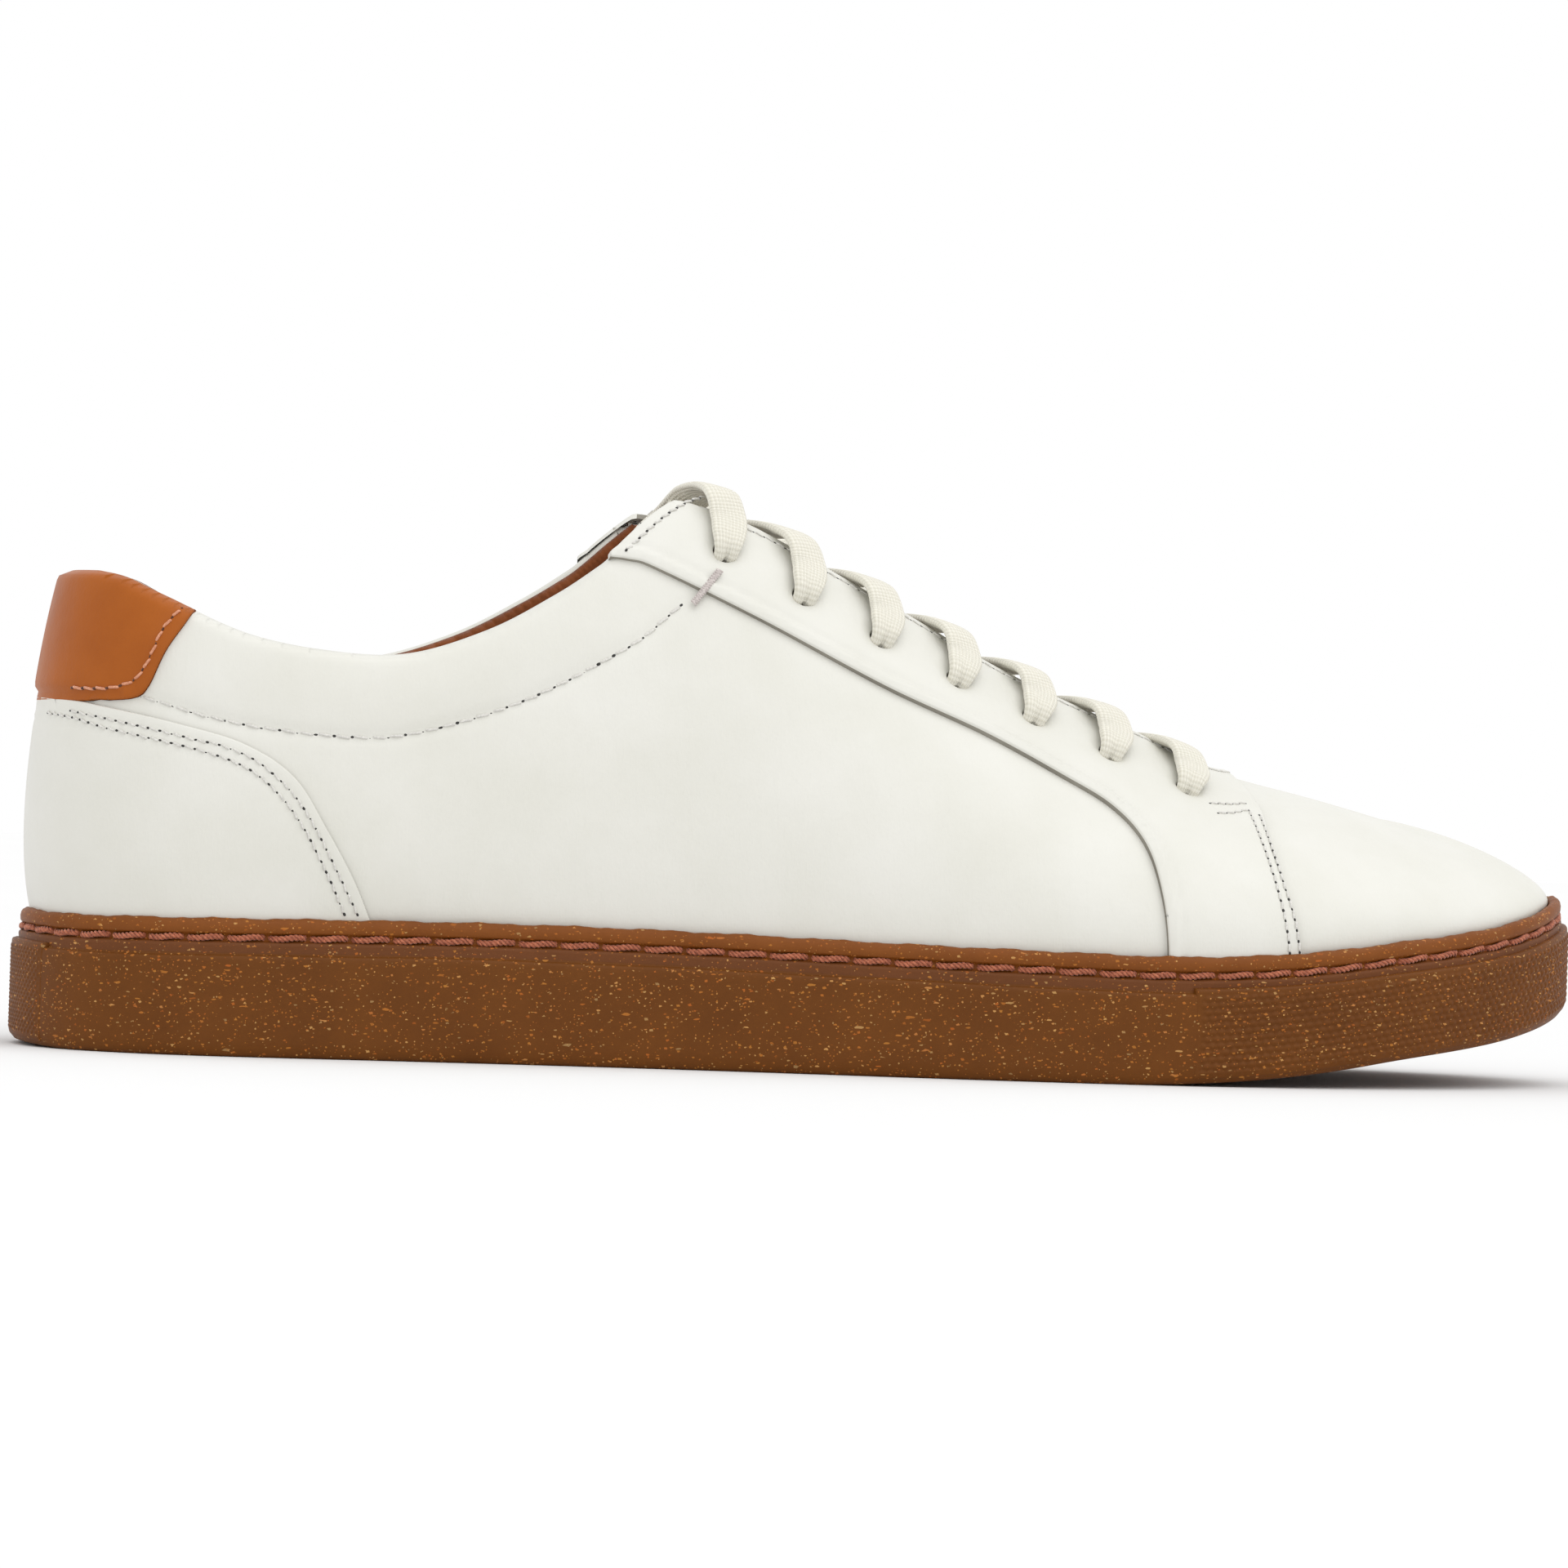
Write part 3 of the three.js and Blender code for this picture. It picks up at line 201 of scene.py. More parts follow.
# The foot line of the upper: its ends, and its parameter from x on each side.
_t = np.linspace(-0.08, 0.08, 16001)
HEEL_T = float(_t[inset(_t, UPPER_INSET)[:, 0].argmin()])
_t = np.linspace(0.4, 0.6, 16001)
TOE_T = float(_t[inset(_t, UPPER_INSET)[:, 0].argmax()])
HEEL_X = float(inset(np.array(HEEL_T), UPPER_INSET)[0])
TOE_X = float(inset(np.array(TOE_T), UPPER_INSET)[0])
_lat = np.linspace(HEEL_T, TOE_T, 4001)
_med = np.linspace(HEEL_T + 1, TOE_T, 4001)
_lat_x = np.maximum.accumulate(inset(_lat, UPPER_INSET)[:, 0])
_med_x = np.maximum.accumulate(inset(_med, UPPER_INSET)[:, 0])


def parameter(x, side):
    """Parameter of the foot line on one side, -1 lateral or 1 medial."""
    return np.interp(x, _lat_x, _lat) if side < 0 else np.interp(x, _med_x, _med)


def skin(t, v):
    """Point of the upper's reference skin: t round the foot line, v from the sole up to the ridge."""
    t, v = np.broadcast_arrays(np.asarray(t, float), np.asarray(v, float))
    foot = inset(t, UPPER_INSET)
    x = foot[..., 0]
    lateral = t < TOE_T
    pick = lambda pair: np.where(lateral, pair[0](x), pair[1](x))
    g = np.clip((x - HEEL_X) / (TOE_X - HEEL_X), 0, 1)
    sx = SPINE_BACK + (SPINE_FRONT - SPINE_BACK) * g * g * (3 - 2 * g)
    across = np.stack([sx, spine_sideways(sx)], -1) - foot
    width = np.linalg.norm(across, axis=-1)
    direction = across / width[..., None]
    bottom, top = sole_top(x), ridge(sx)
    slope = (ridge(sx + 0.5) - ridge(sx - 0.5)) * direction[..., 0]
    last = width * np.clip(reach(x), 0, 1)
    handle = last * pick(CROWN)
    a, b, c, d = (1 - v) ** 3, 3 * v * (1 - v) ** 2, 3 * v * v * (1 - v), v**3
    r = b * pick(BULGE) + c * (last - handle) + d * last
    z = a * bottom + b * (bottom + pick(RISE)) + c * (top - droop(x) - handle * slope) + d * top
    return np.concatenate([foot + direction * r[..., None], z[..., None]], -1)


def skin_normal(t, v):
    e = 4e-4
    v = np.clip(v, -0.05, 1 - e)
    u = skin(t + e, v) - skin(t - e, v)
    w = skin(t, v + e) - skin(t, v - e)
    return unit(np.cross(u, w))


def under(t, v, depth):
    return skin(t, v) - skin_normal(t, v) * np.asarray(depth)[..., None]


def locate(first, second, side, axes=(0, 2)):
    """(t, v) on one side where two coordinates of the skin have given values."""
    want = np.stack([np.asarray(first, float), np.asarray(second, float)], -1)
    ends = (HEEL_T, TOE_T) if side < 0 else (TOE_T, HEEL_T + 1)
    tg, vg = np.meshgrid(np.linspace(*ends, 160), np.linspace(0, 1, 60), indexing="ij")
    seen = skin(tg, vg)[..., list(axes)].reshape(-1, 2)
    best = [int(((seen - w) ** 2).sum(1).argmin()) for w in want]
    t, v = tg.ravel()[best], vg.ravel()[best]
    low, high = ends
    for _ in range(14):
        e = 1e-4
        p = skin(t, v)[:, list(axes)]
        pt = (skin(t + e, v)[:, list(axes)] - p) / e
        pv = (skin(t, v + e)[:, list(axes)] - p) / e
        det = pt[:, 0] * pv[:, 1] - pv[:, 0] * pt[:, 1]
        det = np.where(np.abs(det) < 1e-6, 1e-6, det)
        miss = want - p
        t = t + np.clip((miss[:, 0] * pv[:, 1] - pv[:, 0] * miss[:, 1]) / det, -0.01, 0.01)
        v = v + np.clip((pt[:, 0] * miss[:, 1] - miss[:, 0] * pt[:, 1]) / det, -0.05, 0.05)
        t, v = np.clip(t, low, high), np.clip(v, -0.03, 1)
    return t, v


def resample(points, step):
    """Points of a polyline spaced evenly."""
    p = np.array(points, float)
    s = np.concatenate([[0], np.cumsum(np.linalg.norm(np.diff(p, axis=0), axis=1))])
    n = max(int(round(s[-1] / step)), 1)
    at = np.linspace(0, s[-1], n + 1)
    return np.stack([np.interp(at, s, p[:, k]) for k in range(p.shape[1])], 1)


def catmull(points, per=12):
    """Smooth line through points of the plane or of space, as three.js draws its splines."""
    p = np.array(points, float)
    p = np.vstack([2 * p[0] - p[1], p, 2 * p[-1] - p[-2]])
    t = np.linspace(0, 1, per, endpoint=False)[:, None]
    out = []
    for i in range(1, len(p) - 2):
        a, b, c, d = p[i - 1 : i + 3]
        out.append(
            0.5 * (2 * b + (c - a) * t + (2 * a - 5 * b + 4 * c - d) * t * t + (3 * b - a - 3 * c + d) * t**3)
        )
    return np.vstack([*out, p[-2:-1]])

# ---------------------------------------------------------------- grid over the last
COLUMNS = 430  # along each side
ROWS = 132  # from just under the sole's rim up to the ridge
LOW_V = -0.035

# Sections closer together round the heel and the toe, then evenly along the foot line.
_a = np.linspace(0, 1, COLUMNS + 1)
side_x = HEEL_X + (TOE_X - HEEL_X) * (0.45 * (1 - np.cos(np.pi * _a)) / 2 + 0.55 * _a)
side_x[0], side_x[-1] = HEEL_X, TOE_X
lat_t = parameter(side_x, -1)
med_t = parameter(side_x, 1)
lat_t[0], lat_t[-1], med_t[0], med_t[-1] = HEEL_T, TOE_T, HEEL_T + 1, TOE_T
row_v = np.linspace(LOW_V, 1, ROWS + 1)


def whole_grid():
    """(t, v) of every vertex and the quads of the last, joined over the ridge, at the toe and at the heel."""
    n, m = COLUMNS + 1, ROWS + 1
    lateral = np.arange(n * m).reshape(n, m)
    medial = np.arange(n * m).reshape(n, m) + n * m
    medial[:, -1] = lateral[:, -1]
    medial[0], medial[-1] = lateral[0], lateral[-1]
    t = np.concatenate([np.repeat(lat_t, m), np.repeat(med_t, m)])
    v = np.tile(row_v, 2 * n)
    a = np.stack([lateral[:-1, :-1], lateral[1:, :-1], lateral[1:, 1:], lateral[:-1, 1:]], -1).reshape(-1, 4)
    b = np.stack([medial[1:, :-1], medial[:-1, :-1], medial[:-1, 1:], medial[1:, 1:]], -1).reshape(-1, 4)
    return t, v, np.vstack([a, b])


GRID_T, GRID_V, GRID_QUADS = whole_grid()
GRID_P = skin(GRID_T, GRID_V)
GRID_N = skin_normal(GRID_T, GRID_V)


def smooth_normals(points, quads, normals):
    """Normals averaged over the neighbouring quads, so that the ridge has one direction on both sides."""
    face = np.cross(points[quads[:, 2]] - points[quads[:, 0]], points[quads[:, 3]] - points[quads[:, 1]])
    total = np.zeros_like(points)
    for k in range(4):
        np.add.at(total, quads[:, k], face)
    length = np.linalg.norm(total, axis=1, keepdims=True)
    return np.where(length > 1e-9, total / np.maximum(length, 1e-12), normals)


GRID_N = smooth_normals(GRID_P, GRID_QUADS, GRID_N)


def in_polygon(x, y, polygon):
    """Whether points of the plane lie inside a closed outline."""
    p = np.array(polygon, float)
    inside = np.zeros(np.shape(x), bool)
    for (x0, y0), (x1, y1) in zip(p, np.roll(p, -1, 0)):
        if y0 == y1:
            continue
        crosses = (y0 > y) != (y1 > y)
        inside ^= crosses & (x < (x1 - x0) * (y - y0) / (y1 - y0) + x0)
    return inside


def nearest(points, line):
    """Distance from each point to the nearest sample of a line, and that sample."""
    distance = np.empty(len(points))
    index = np.empty(len(points), int)
    squares = (line**2).sum(1)
    for i in range(0, len(points), 6000):
        part = points[i : i + 6000]
        d = squares - 2 * part @ line.T
        index[i : i + 6000] = d.argmin(1)
        distance[i : i + 6000] = np.linalg.norm(part - line[index[i : i + 6000]], axis=1)
    return distance, index


def edge(points, side, step=0.2, axes=(0, 2), smooth=True):
    """Samples (t, v) of an edge drawn in the side view, or from above with other axes."""
    line = catmull(points) if smooth else np.array(points, float)
    line = resample(line, 1.0)
    t, v = locate(line[:, 0], line[:, 1], side, axes)
    p = skin(t, v)
    s = np.concatenate([[0], np.cumsum(np.linalg.norm(np.diff(p, axis=0), axis=1))])
    at = np.linspace(0, s[-1], max(int(s[-1] / step), 2))
    return np.stack([np.interp(at, s, t), np.interp(at, s, v)], 1)

# ---------------------------------------------------------------- meshes and panels
def placed(points):
    return (np.asarray(points) + SHIFT) / 1000


def mesh_object(name, points, faces, materials, body="shoe", which=None, uv=None, smooth=True):
    """A mesh piece from design points in millimetres, riding on a CAD body."""
    me = bpy.data.meshes.new(name)
    me.from_pydata(placed(points).tolist(), [], [list(map(int, f)) for f in faces])
    for m in materials:
        me.materials.append(m)
    if which is not None:
        me.polygons.foreach_set("material_index", np.asarray(which, np.int32))
    me.polygons.foreach_set("use_smooth", np.full(len(me.polygons), smooth))
    if uv is not None:
        layer = me.uv_layers.new(name="UVMap")
        corner = np.empty(len(me.loops), np.int32)
        me.loops.foreach_get("vertex_index", corner)
        layer.data.foreach_set("uv", np.asarray(uv, np.float32)[corner].ravel())
    me.update()
    obj = bpy.data.objects.new(name, me)
    bpy.context.scene.collection.objects.link(obj)
    if body:
        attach(obj, body)
    return obj


def used_edges(quads):
    """Edges that belong to one quad only, in that quad's direction."""
    pairs = np.concatenate([quads[:, [k, (k + 1) % 4]] for k in range(4)])
    pairs = pairs[pairs[:, 0] != pairs[:, 1]]
    key = np.sort(pairs, 1)
    code = key[:, 0] * 10_000_000 + key[:, 1]
    _, inverse, count = np.unique(code, return_inverse=True, return_counts=True)
    return pairs[count[inverse.ravel()] == 1]


class Panel:
    """Part of the grid inside a region, its rim drawn onto edge lines."""

    def __init__(self, inside, edges, snap=0.34):
        mask = inside(GRID_P, GRID_T)
        near = mask[GRID_QUADS].any(1)
        verts = np.unique(GRID_QUADS[near])
        line = np.concatenate([e for _, e in edges])
        tags = np.concatenate([np.full(len(e), i) for i, (_, e) in enumerate(edges)])
        line_p = skin(line[:, 0], line[:, 1])
        d, index = nearest(GRID_P[verts], line_p)
        signed = np.full(len(GRID_P), -99.0)
        signed[verts] = np.where(mask[verts], d, -d)
        closest = np.zeros(len(GRID_P), int)
        closest[verts] = index
        kept = GRID_QUADS[(signed[GRID_QUADS] > -snap).all(1)]
        kept = kept[mask[kept].any(1)]
        old, new = np.unique(kept, return_inverse=True)
        quads = new.reshape(kept.shape)
        t, v, p = GRID_T[old].copy(), GRID_V[old].copy(), GRID_P[old].copy()
        n, sd, pick = GRID_N[old].copy(), signed[old].copy(), closest[old]
        rim = used_edges(quads)
        rim_verts = np.unique(rim)
        moved = rim_verts[(v[rim_verts] > LOW_V + 1e-6) & (np.abs(sd[rim_verts]) < 1.6)]
        moved = np.union1d(moved, np.flatnonzero((sd < 0.12) & (v > LOW_V + 1e-6)))
        t[moved], v[moved] = line[pick[moved], 0], line[pick[moved], 1]
        p[moved] = line_p[pick[moved]]
        sd[moved] = 0
        flat = np.abs(v[moved] - 1) > 2e-3
        n[moved[flat]] = skin_normal(t[moved[flat]], v[moved[flat]])
        self.t, self.v, self.p, self.n, self.sd, self.quads = t, v, p, n, np.maximum(sd, 0), quads
        self.tag = [edges[i][0] for i in tags[pick]]
        self.tag = np.array(self.tag)
        self.rim = rim[~((v[rim] <= LOW_V + 1e-6).all(1))]
        self.bottom = rim[(v[rim] <= LOW_V + 1e-6).all(1)]

    def build(self, name, materials, height, rings, body="shoe", low=None, cut_from=None):
        """Piece of this panel: height over the skin at each vertex, then rings (outward, height) round its rim."""
        h = height(self)
        self.h = h
        points = [self.p + self.n * h[:, None]]
        faces = [q for q in self.quads.tolist()]
        which = [0] * len(faces)
        verts = np.unique(self.rim)
        lookup = np.full(len(self.p), -1)
        lookup[verts] = np.arange(len(verts))
        out = np.zeros((len(self.p), 3))
        along_rim = unit(self.p[self.rim[:, 1]] - self.p[self.rim[:, 0]])
        for k in range(2):
            np.add.at(out, self.rim[:, k], np.cross(along_rim, self.n[self.rim[:, k]]))
        out = unit(out[verts])
        steps = rings(self, verts, h[verts])
        base = len(self.p)
        previous = verts
        for number, (o, hh) in enumerate(steps):
            points.append(self.p[verts] + out * np.asarray(o)[:, None] + self.n[verts] * np.asarray(hh)[:, None])
            current = base + np.arange(len(verts))
            a, b = lookup[self.rim[:, 0]], lookup[self.rim[:, 1]]
            prev = previous if previous is not verts else verts
            faces += np.stack([prev[b], prev[a], current[a], current[b]], 1).tolist()
            # From ring cut_from on, the rim faces take the second material, a darker edge colour; on the white panels
            # it is partly painted shade under the edge.
            raw_edge_and_shade = cut_from is not None and number >= cut_from
            collar = self.tag[self.rim[:, 0]] == "collar"
            which += np.where(raw_edge_and_shade & ~collar, 1, 0).tolist()
            previous = current
            base += len(verts)
        if low is not None and len(self.bottom):
            foot = np.unique(self.bottom)
            spot = np.full(len(self.p), -1)
            spot[foot] = base + np.arange(len(foot))
            down = self.p[foot] + self.n[foot] * h[foot][:, None]
            down[:, 2] = low(down[:, 0])
            points.append(down)
            a, b = self.bottom[:, 0], self.bottom[:, 1]
            faces += np.stack([b, a, spot[a], spot[b]], 1).tolist()
            which += [0] * len(a)
        kept = [(tri(f), m) for f, m in zip(faces, which) if len(set(f)) >= 3]
        return mesh_object(
            name, np.concatenate(points), [f for f, _ in kept], materials, body, which=[m for _, m in kept]
        )


def tri(face):
    """A quad with two corners joined, as a triangle."""
    return list(dict.fromkeys(face))


# ---------------------------------------------------------------- materials
def material(name, rough=0.5, **sockets):
    """A node material with its Principled shader; other sockets are set directly."""
    m = bpy.data.materials.new(name)
    m.use_nodes = True
    tree = m.node_tree
    shader = tree.nodes["Principled BSDF"]
    shader.inputs["Roughness"].default_value = rough
    for key, value in sockets.items():
        shader.inputs[key.replace("_", " ")].default_value = value
    return m, tree, shader


def node(tree, kind, inputs=None, **settings):
    n = tree.nodes.new(kind)
    for key, value in settings.items():
        setattr(n, key, value)
    for key, value in (inputs or {}).items():
        if isinstance(value, bpy.types.NodeSocket):
            tree.links.new(value, n.inputs[key])
        else:
            n.inputs[key].default_value = value
    return n


def coords(tree, scale=(1, 1, 1), turn=(0, 0, 0), source="Object"):
    base = node(tree, "ShaderNodeTexCoord")
    return node(
        tree, "ShaderNodeMapping", {"Vector": base.outputs[source], "Scale": scale, "Rotation": turn}
    ).outputs["Vector"]


def noise(tree, scale, detail=3.0, rough=0.55, vector=None):
    return node(
        tree,
        "ShaderNodeTexNoise",
        {"Vector": vector or coords(tree), "Scale": scale, "Detail": detail, "Roughness": rough},
    ).outputs["Fac"]


def ramp(tree, fac, stops):
    n = node(tree, "ShaderNodeValToRGB", {"Fac": fac})
    n.color_ramp.elements[0].position, n.color_ramp.elements[0].color = stops[0][0], (*stops[0][1], 1)
    n.color_ramp.elements[1].position, n.color_ramp.elements[1].color = stops[-1][0], (*stops[-1][1], 1)
    for position, color in stops[1:-1]:
        n.color_ramp.elements.new(position).color = (*color, 1)
    return n.outputs["Color"]


def mix(tree, fac, a, b, kind="MIX"):
    n = node(tree, "ShaderNodeMix", data_type="RGBA", blend_type=kind)
    for key, value in (("Factor", fac), ("A", a), ("B", b)):
        socket = [s for s in n.inputs if s.name == key and (s.type == "RGBA" or key == "Factor" and s.type == "VALUE")][0]
        if isinstance(value, bpy.types.NodeSocket):
            tree.links.new(value, socket)
        else:
            socket.default_value = value if key == "Factor" else (*value, 1)
    return [s for s in n.outputs if s.type == "RGBA"][0]


def sums(tree, a, b, operation="ADD"):
    n = node(tree, "ShaderNodeMath", operation=operation)
    for i, value in enumerate((a, b)):
        if isinstance(value, bpy.types.NodeSocket):
            tree.links.new(value, n.inputs[i])
        else:
            n.inputs[i].default_value = value
    return n.outputs[0]


def bump(tree, shader, height, strength, distance, after=None):
    n = node(tree, "ShaderNodeBump", {"Height": height, "Strength": strength, "Distance": distance})
    if after is not None:
        tree.links.new(after, n.inputs["Normal"])
    tree.links.new(n.outputs["Normal"], shader.inputs["Normal"])
    return n.outputs["Normal"]


def srgb(r, g, b):
    return tuple(((c / 255 + 0.055) / 1.055) ** 2.4 if c > 10 else c / 255 / 12.92 for c in (r, g, b))


def leather(name, dark, light, rough=0.42, grain=0.16, crease=0.25, level=0.42):
    """Smooth full grain leather: fine pebbled grain, faint creases, slow colour variation."""
    m, tree, shader = material(name, rough, Specular_IOR_Level=level)
    slow = noise(tree, 38, 4)
    fine = noise(tree, 900, 3)
    color = ramp(tree, slow, [(0.32, dark), (0.68, light)])
    color = mix(tree, 0.08, color, ramp(tree, fine, [(0.3, dark), (0.7, light)]))
    tree.links.new(color, shader.inputs["Base Color"])
    tree.links.new(
        node(
            tree, "ShaderNodeMapRange", {"Value": noise(tree, 160, 4), "To Min": rough - 0.07, "To Max": rough + 0.08}
        ).outputs[0],
        shader.inputs["Roughness"],
    )
    cell = node(tree, "ShaderNodeTexVoronoi", {"Vector": coords(tree), "Scale": 1700.0}, feature="SMOOTH_F1")
    first = bump(tree, shader, cell.outputs["Distance"], grain, 0.00012)
    lines = noise(tree, 120, 5, 0.62, coords(tree, (2.6, 1, 0.55), (0, 0.3, 0)))
    second = bump(tree, shader, lines, crease, 0.0006, first)
    bump(tree, shader, slow, 0.15, 0.0015, second)
    return m


WHITE = leather("white_leather", srgb(212, 211, 202), srgb(219, 218, 211))
# Cut edge face of the white leather: darker, partly the leather's own edge colour and partly painted shade for the dark
# line under a raised edge.
RAW_EDGE_SHADE = leather("white_leather_raw_edge_painted_shade", srgb(124, 120, 111), srgb(156, 152, 142), rough=0.85, grain=0.3, level=0.1)
RAW_TAN = leather("tan_leather_raw_edge", srgb(96, 44, 10), srgb(122, 60, 20), rough=0.8, grain=0.3, level=0.1)
TAN = leather("tan_leather", srgb(150, 76, 14), srgb(168, 90, 24), rough=0.42, grain=0.2, crease=0.12, level=0.2)


def suede(name, dark, light, sheen=0.35):
    """Brushed lining leather with a soft nap."""
    m, tree, shader = material(name, 0.85, Specular_IOR_Level=0.2, Sheen_Weight=sheen, Sheen_Roughness=0.5)
    patches = noise(tree, 60, 5, 0.6)
    nap = noise(tree, 1500, 4, 0.7)
    color = ramp(tree, patches, [(0.3, dark), (0.7, light)])
    color = mix(tree, 0.35, color, ramp(tree, nap, [(0.25, dark), (0.75, light)]))
    tree.links.new(color, shader.inputs["Base Color"])
    first = bump(tree, shader, nap, 0.35, 0.0002)
    bump(tree, shader, patches, 0.2, 0.0008, first)
    return m


LINING_MAT = suede("suede_lining", srgb(112, 58, 24), srgb(150, 84, 42))
FOOTBED_MAT = suede("footbed_leather", srgb(132, 78, 42), srgb(164, 104, 62), 0.15)
FOAM_MAT = suede("foam_core", srgb(205, 190, 140), srgb(224, 210, 160), 0.1)


def gum(name, base_dark, base_light, amount=1.0, rough=0.5):
    """Gum rubber moulded with ground flecks of cork and rubber."""
    m, tree, shader = material(name, rough, Specular_IOR_Level=0.16)
    color = ramp(tree, noise(tree, 70, 5, 0.6), [(0.3, base_dark), (0.7, base_light)])
    color = mix(tree, 0.25, color, ramp(tree, noise(tree, 1500, 3, 0.7), [(0.3, base_dark), (0.75, base_light)]))
    flecks = [  # cells per metre, stretch, turn, size limit, share of the cells
        (330, (1, 1, 3.4), (0.5, 0.4, 0), 0.26, 0.10),
        (420, (1, 1, 3.0), (-0.4, 1.2, 0.3), 0.26, 0.10),
        (640, (1.0, 1.0, 2.4), (0.2, 2.1, 0.6), 0.28, 0.22),
        (1050, (1, 1, 1.6), (1.1, 0.3, 0.2), 0.32, 0.40),
        (1900, (1, 1, 1), (0.3, 0.3, 0.9), 0.34, 0.5),
    ]
    height = None
    for i, (cells, stretch, turn, limit, share) in enumerate(flecks):
        place = coords(tree, tuple(s for s in stretch), turn)
        wobble = node(tree, "ShaderNodeTexNoise", {"Vector": place, "Scale": cells * 1.3, "Detail": 1.0})
        bent = node(
            tree,
            "ShaderNodeVectorMath",
            {0: wobble.outputs["Color"], 1: (0.5 / cells, 0.5 / cells, 0.5 / cells)},
            operation="MULTIPLY",
        )
        place = node(tree, "ShaderNodeVectorMath", {0: place, 1: bent.outputs[0]}, operation="ADD").outputs[0]
        cell = node(tree, "ShaderNodeTexVoronoi", {"Vector": place, "Scale": float(cells)}, distance="CHEBYCHEV" if i % 2 else "EUCLIDEAN")
        split = node(tree, "ShaderNodeSeparateColor", {"Color": cell.outputs["Color"]})
        chosen = sums(tree, split.outputs[0], share * amount, "LESS_THAN")
        radius = sums(tree, split.outputs[1], limit, "MULTIPLY")
        inside = sums(tree, cell.outputs["Distance"], radius, "LESS_THAN")
        on = sums(tree, chosen, inside, "MULTIPLY")
        tint = ramp(
            tree,
            split.outputs[2],
            [
                (0.0, srgb(150, 78, 22)),
                (0.35, srgb(178, 116, 46)),
                (0.6, srgb(172, 90, 30)),
                (0.8, srgb(202, 152, 88)),
                (1.0, srgb(148, 116, 74)),
            ],
        )
        color = mix(tree, sums(tree, on, 0.8, "MULTIPLY"), color, tint)
        height = on if height is None else sums(tree, height, on)
    tree.links.new(color, shader.inputs["Base Color"])
    first = bump(tree, shader, noise(tree, 1200, 3, 0.7), 0.25, 0.0002)
    bump(tree, shader, height, 0.15, 0.00015, first)
    return m


GUM = gum("gum_rubber", srgb(94, 51, 8), srgb(108, 61, 14))
BAND = gum("gum_rubber_band", srgb(96, 54, 22), srgb(108, 62, 30), 0.8)
WELT = gum("gum_rubber_welt", srgb(112, 60, 16), srgb(128, 72, 24), 0.9)


def thread(name, dark, light, twist=2600.0, rough=0.6):
    """Twisted sewing thread."""
    m, tree, shader = material(name, rough, Sheen_Weight=0.3)
    fibre = noise(tree, twist, 2, 0.6)
    tree.links.new(ramp(tree, fibre, [(0.35, dark), (0.7, light)]), shader.inputs["Base Color"])
    bump(tree, shader, fibre, 0.5, 0.0001)
    return m


THREAD_GREY = thread("upper_thread", srgb(196, 194, 188), srgb(224, 222, 216))
THREAD_TAN = thread("tab_thread", srgb(190, 120, 84), srgb(222, 160, 126))
THREAD_PINK = thread("backstay_thread", srgb(222, 190, 182), srgb(244, 222, 216))
THREAD_LILAC = thread("bartack_thread", srgb(174, 164, 160), srgb(212, 203, 199))
ROPE = thread("rope_thread", srgb(138, 66, 36), srgb(190, 110, 74), 1500.0)
# Needle holes are dark discs over the leather; their colour is painted shade inside each hole.
HOLE_SHADE = thread("needle_hole_painted_shade", srgb(34, 33, 32), srgb(56, 54, 52), rough=0.9)
HOLE_TAN_SHADE = thread("needle_hole_tan_painted_shade", srgb(60, 28, 10), srgb(96, 46, 18), rough=0.9)


def woven(name):
    """Flat cotton lace: ribs along it and a fine cross weave, in the lace's own measure."""
    m, tree, shader = material(name, 0.85, Specular_IOR_Level=0.25, Sheen_Weight=0.25, Sheen_Roughness=0.5)
    uv = coords(tree, (1, 1, 1), source="UV")
    split = node(tree, "ShaderNodeSeparateXYZ", {0: uv})

    def wave(value, pitch):
        return sums(tree, sums(tree, value, 2 * math.pi / pitch, "MULTIPLY"), 0.0, "SINE")

    u, v = split.outputs[0], split.outputs[1]
    slant = sums(tree, u, v)
    counter = sums(tree, u, v, "SUBTRACT")
    weave = sums(tree, wave(slant, 0.0015), wave(counter, 0.0015), "MULTIPLY")
    ribs = wave(v, 0.00075)
    height = sums(tree, sums(tree, weave, 0.6, "MULTIPLY"), sums(tree, ribs, 0.12, "MULTIPLY"))
    fuzz = noise(tree, 2500, 3, 0.7)
    # The weave's hollows are coloured darker than its crests: painted shade in the relief.
    color = ramp(tree, sums(tree, sums(tree, height, 0.3, "MULTIPLY"), 0.5), [(0.2, srgb(206, 201, 184)), (0.7, srgb(236, 233, 221))])
    color = mix(tree, 0.2, color, ramp(tree, fuzz, [(0.3, srgb(214, 210, 194)), (0.7, srgb(238, 236, 225))]))
    tree.links.new(color, shader.inputs["Base Color"])
    first = bump(tree, shader, height, 0.7, 0.0003)
    bump(tree, shader, fuzz, 0.3, 0.0002, first)
    return m


LACE_MAT = woven("woven_cotton")


def plastic(name):
    m, tree, shader = material(name, 0.22, Specular_IOR_Level=0.5, Coat_Weight=0.4, Coat_Roughness=0.1)
    fac = noise(tree, 700, 3)
    tree.links.new(ramp(tree, fac, [(0.3, srgb(214, 208, 190)), (0.7, srgb(232, 228, 214))]), shader.inputs["Base Color"])
    bump(tree, shader, fac, 0.15, 0.0002)
    return m


TIP_MAT = plastic("aglet_tip")

# ---------------------------------------------------------------- camera, light and floor
CAMERA_AWAY = 1300.0  # millimetres from the middle of the shoe
CAMERA_YAW = math.radians(10.5)
CAMERA_ROLL = math.radians(2.0)


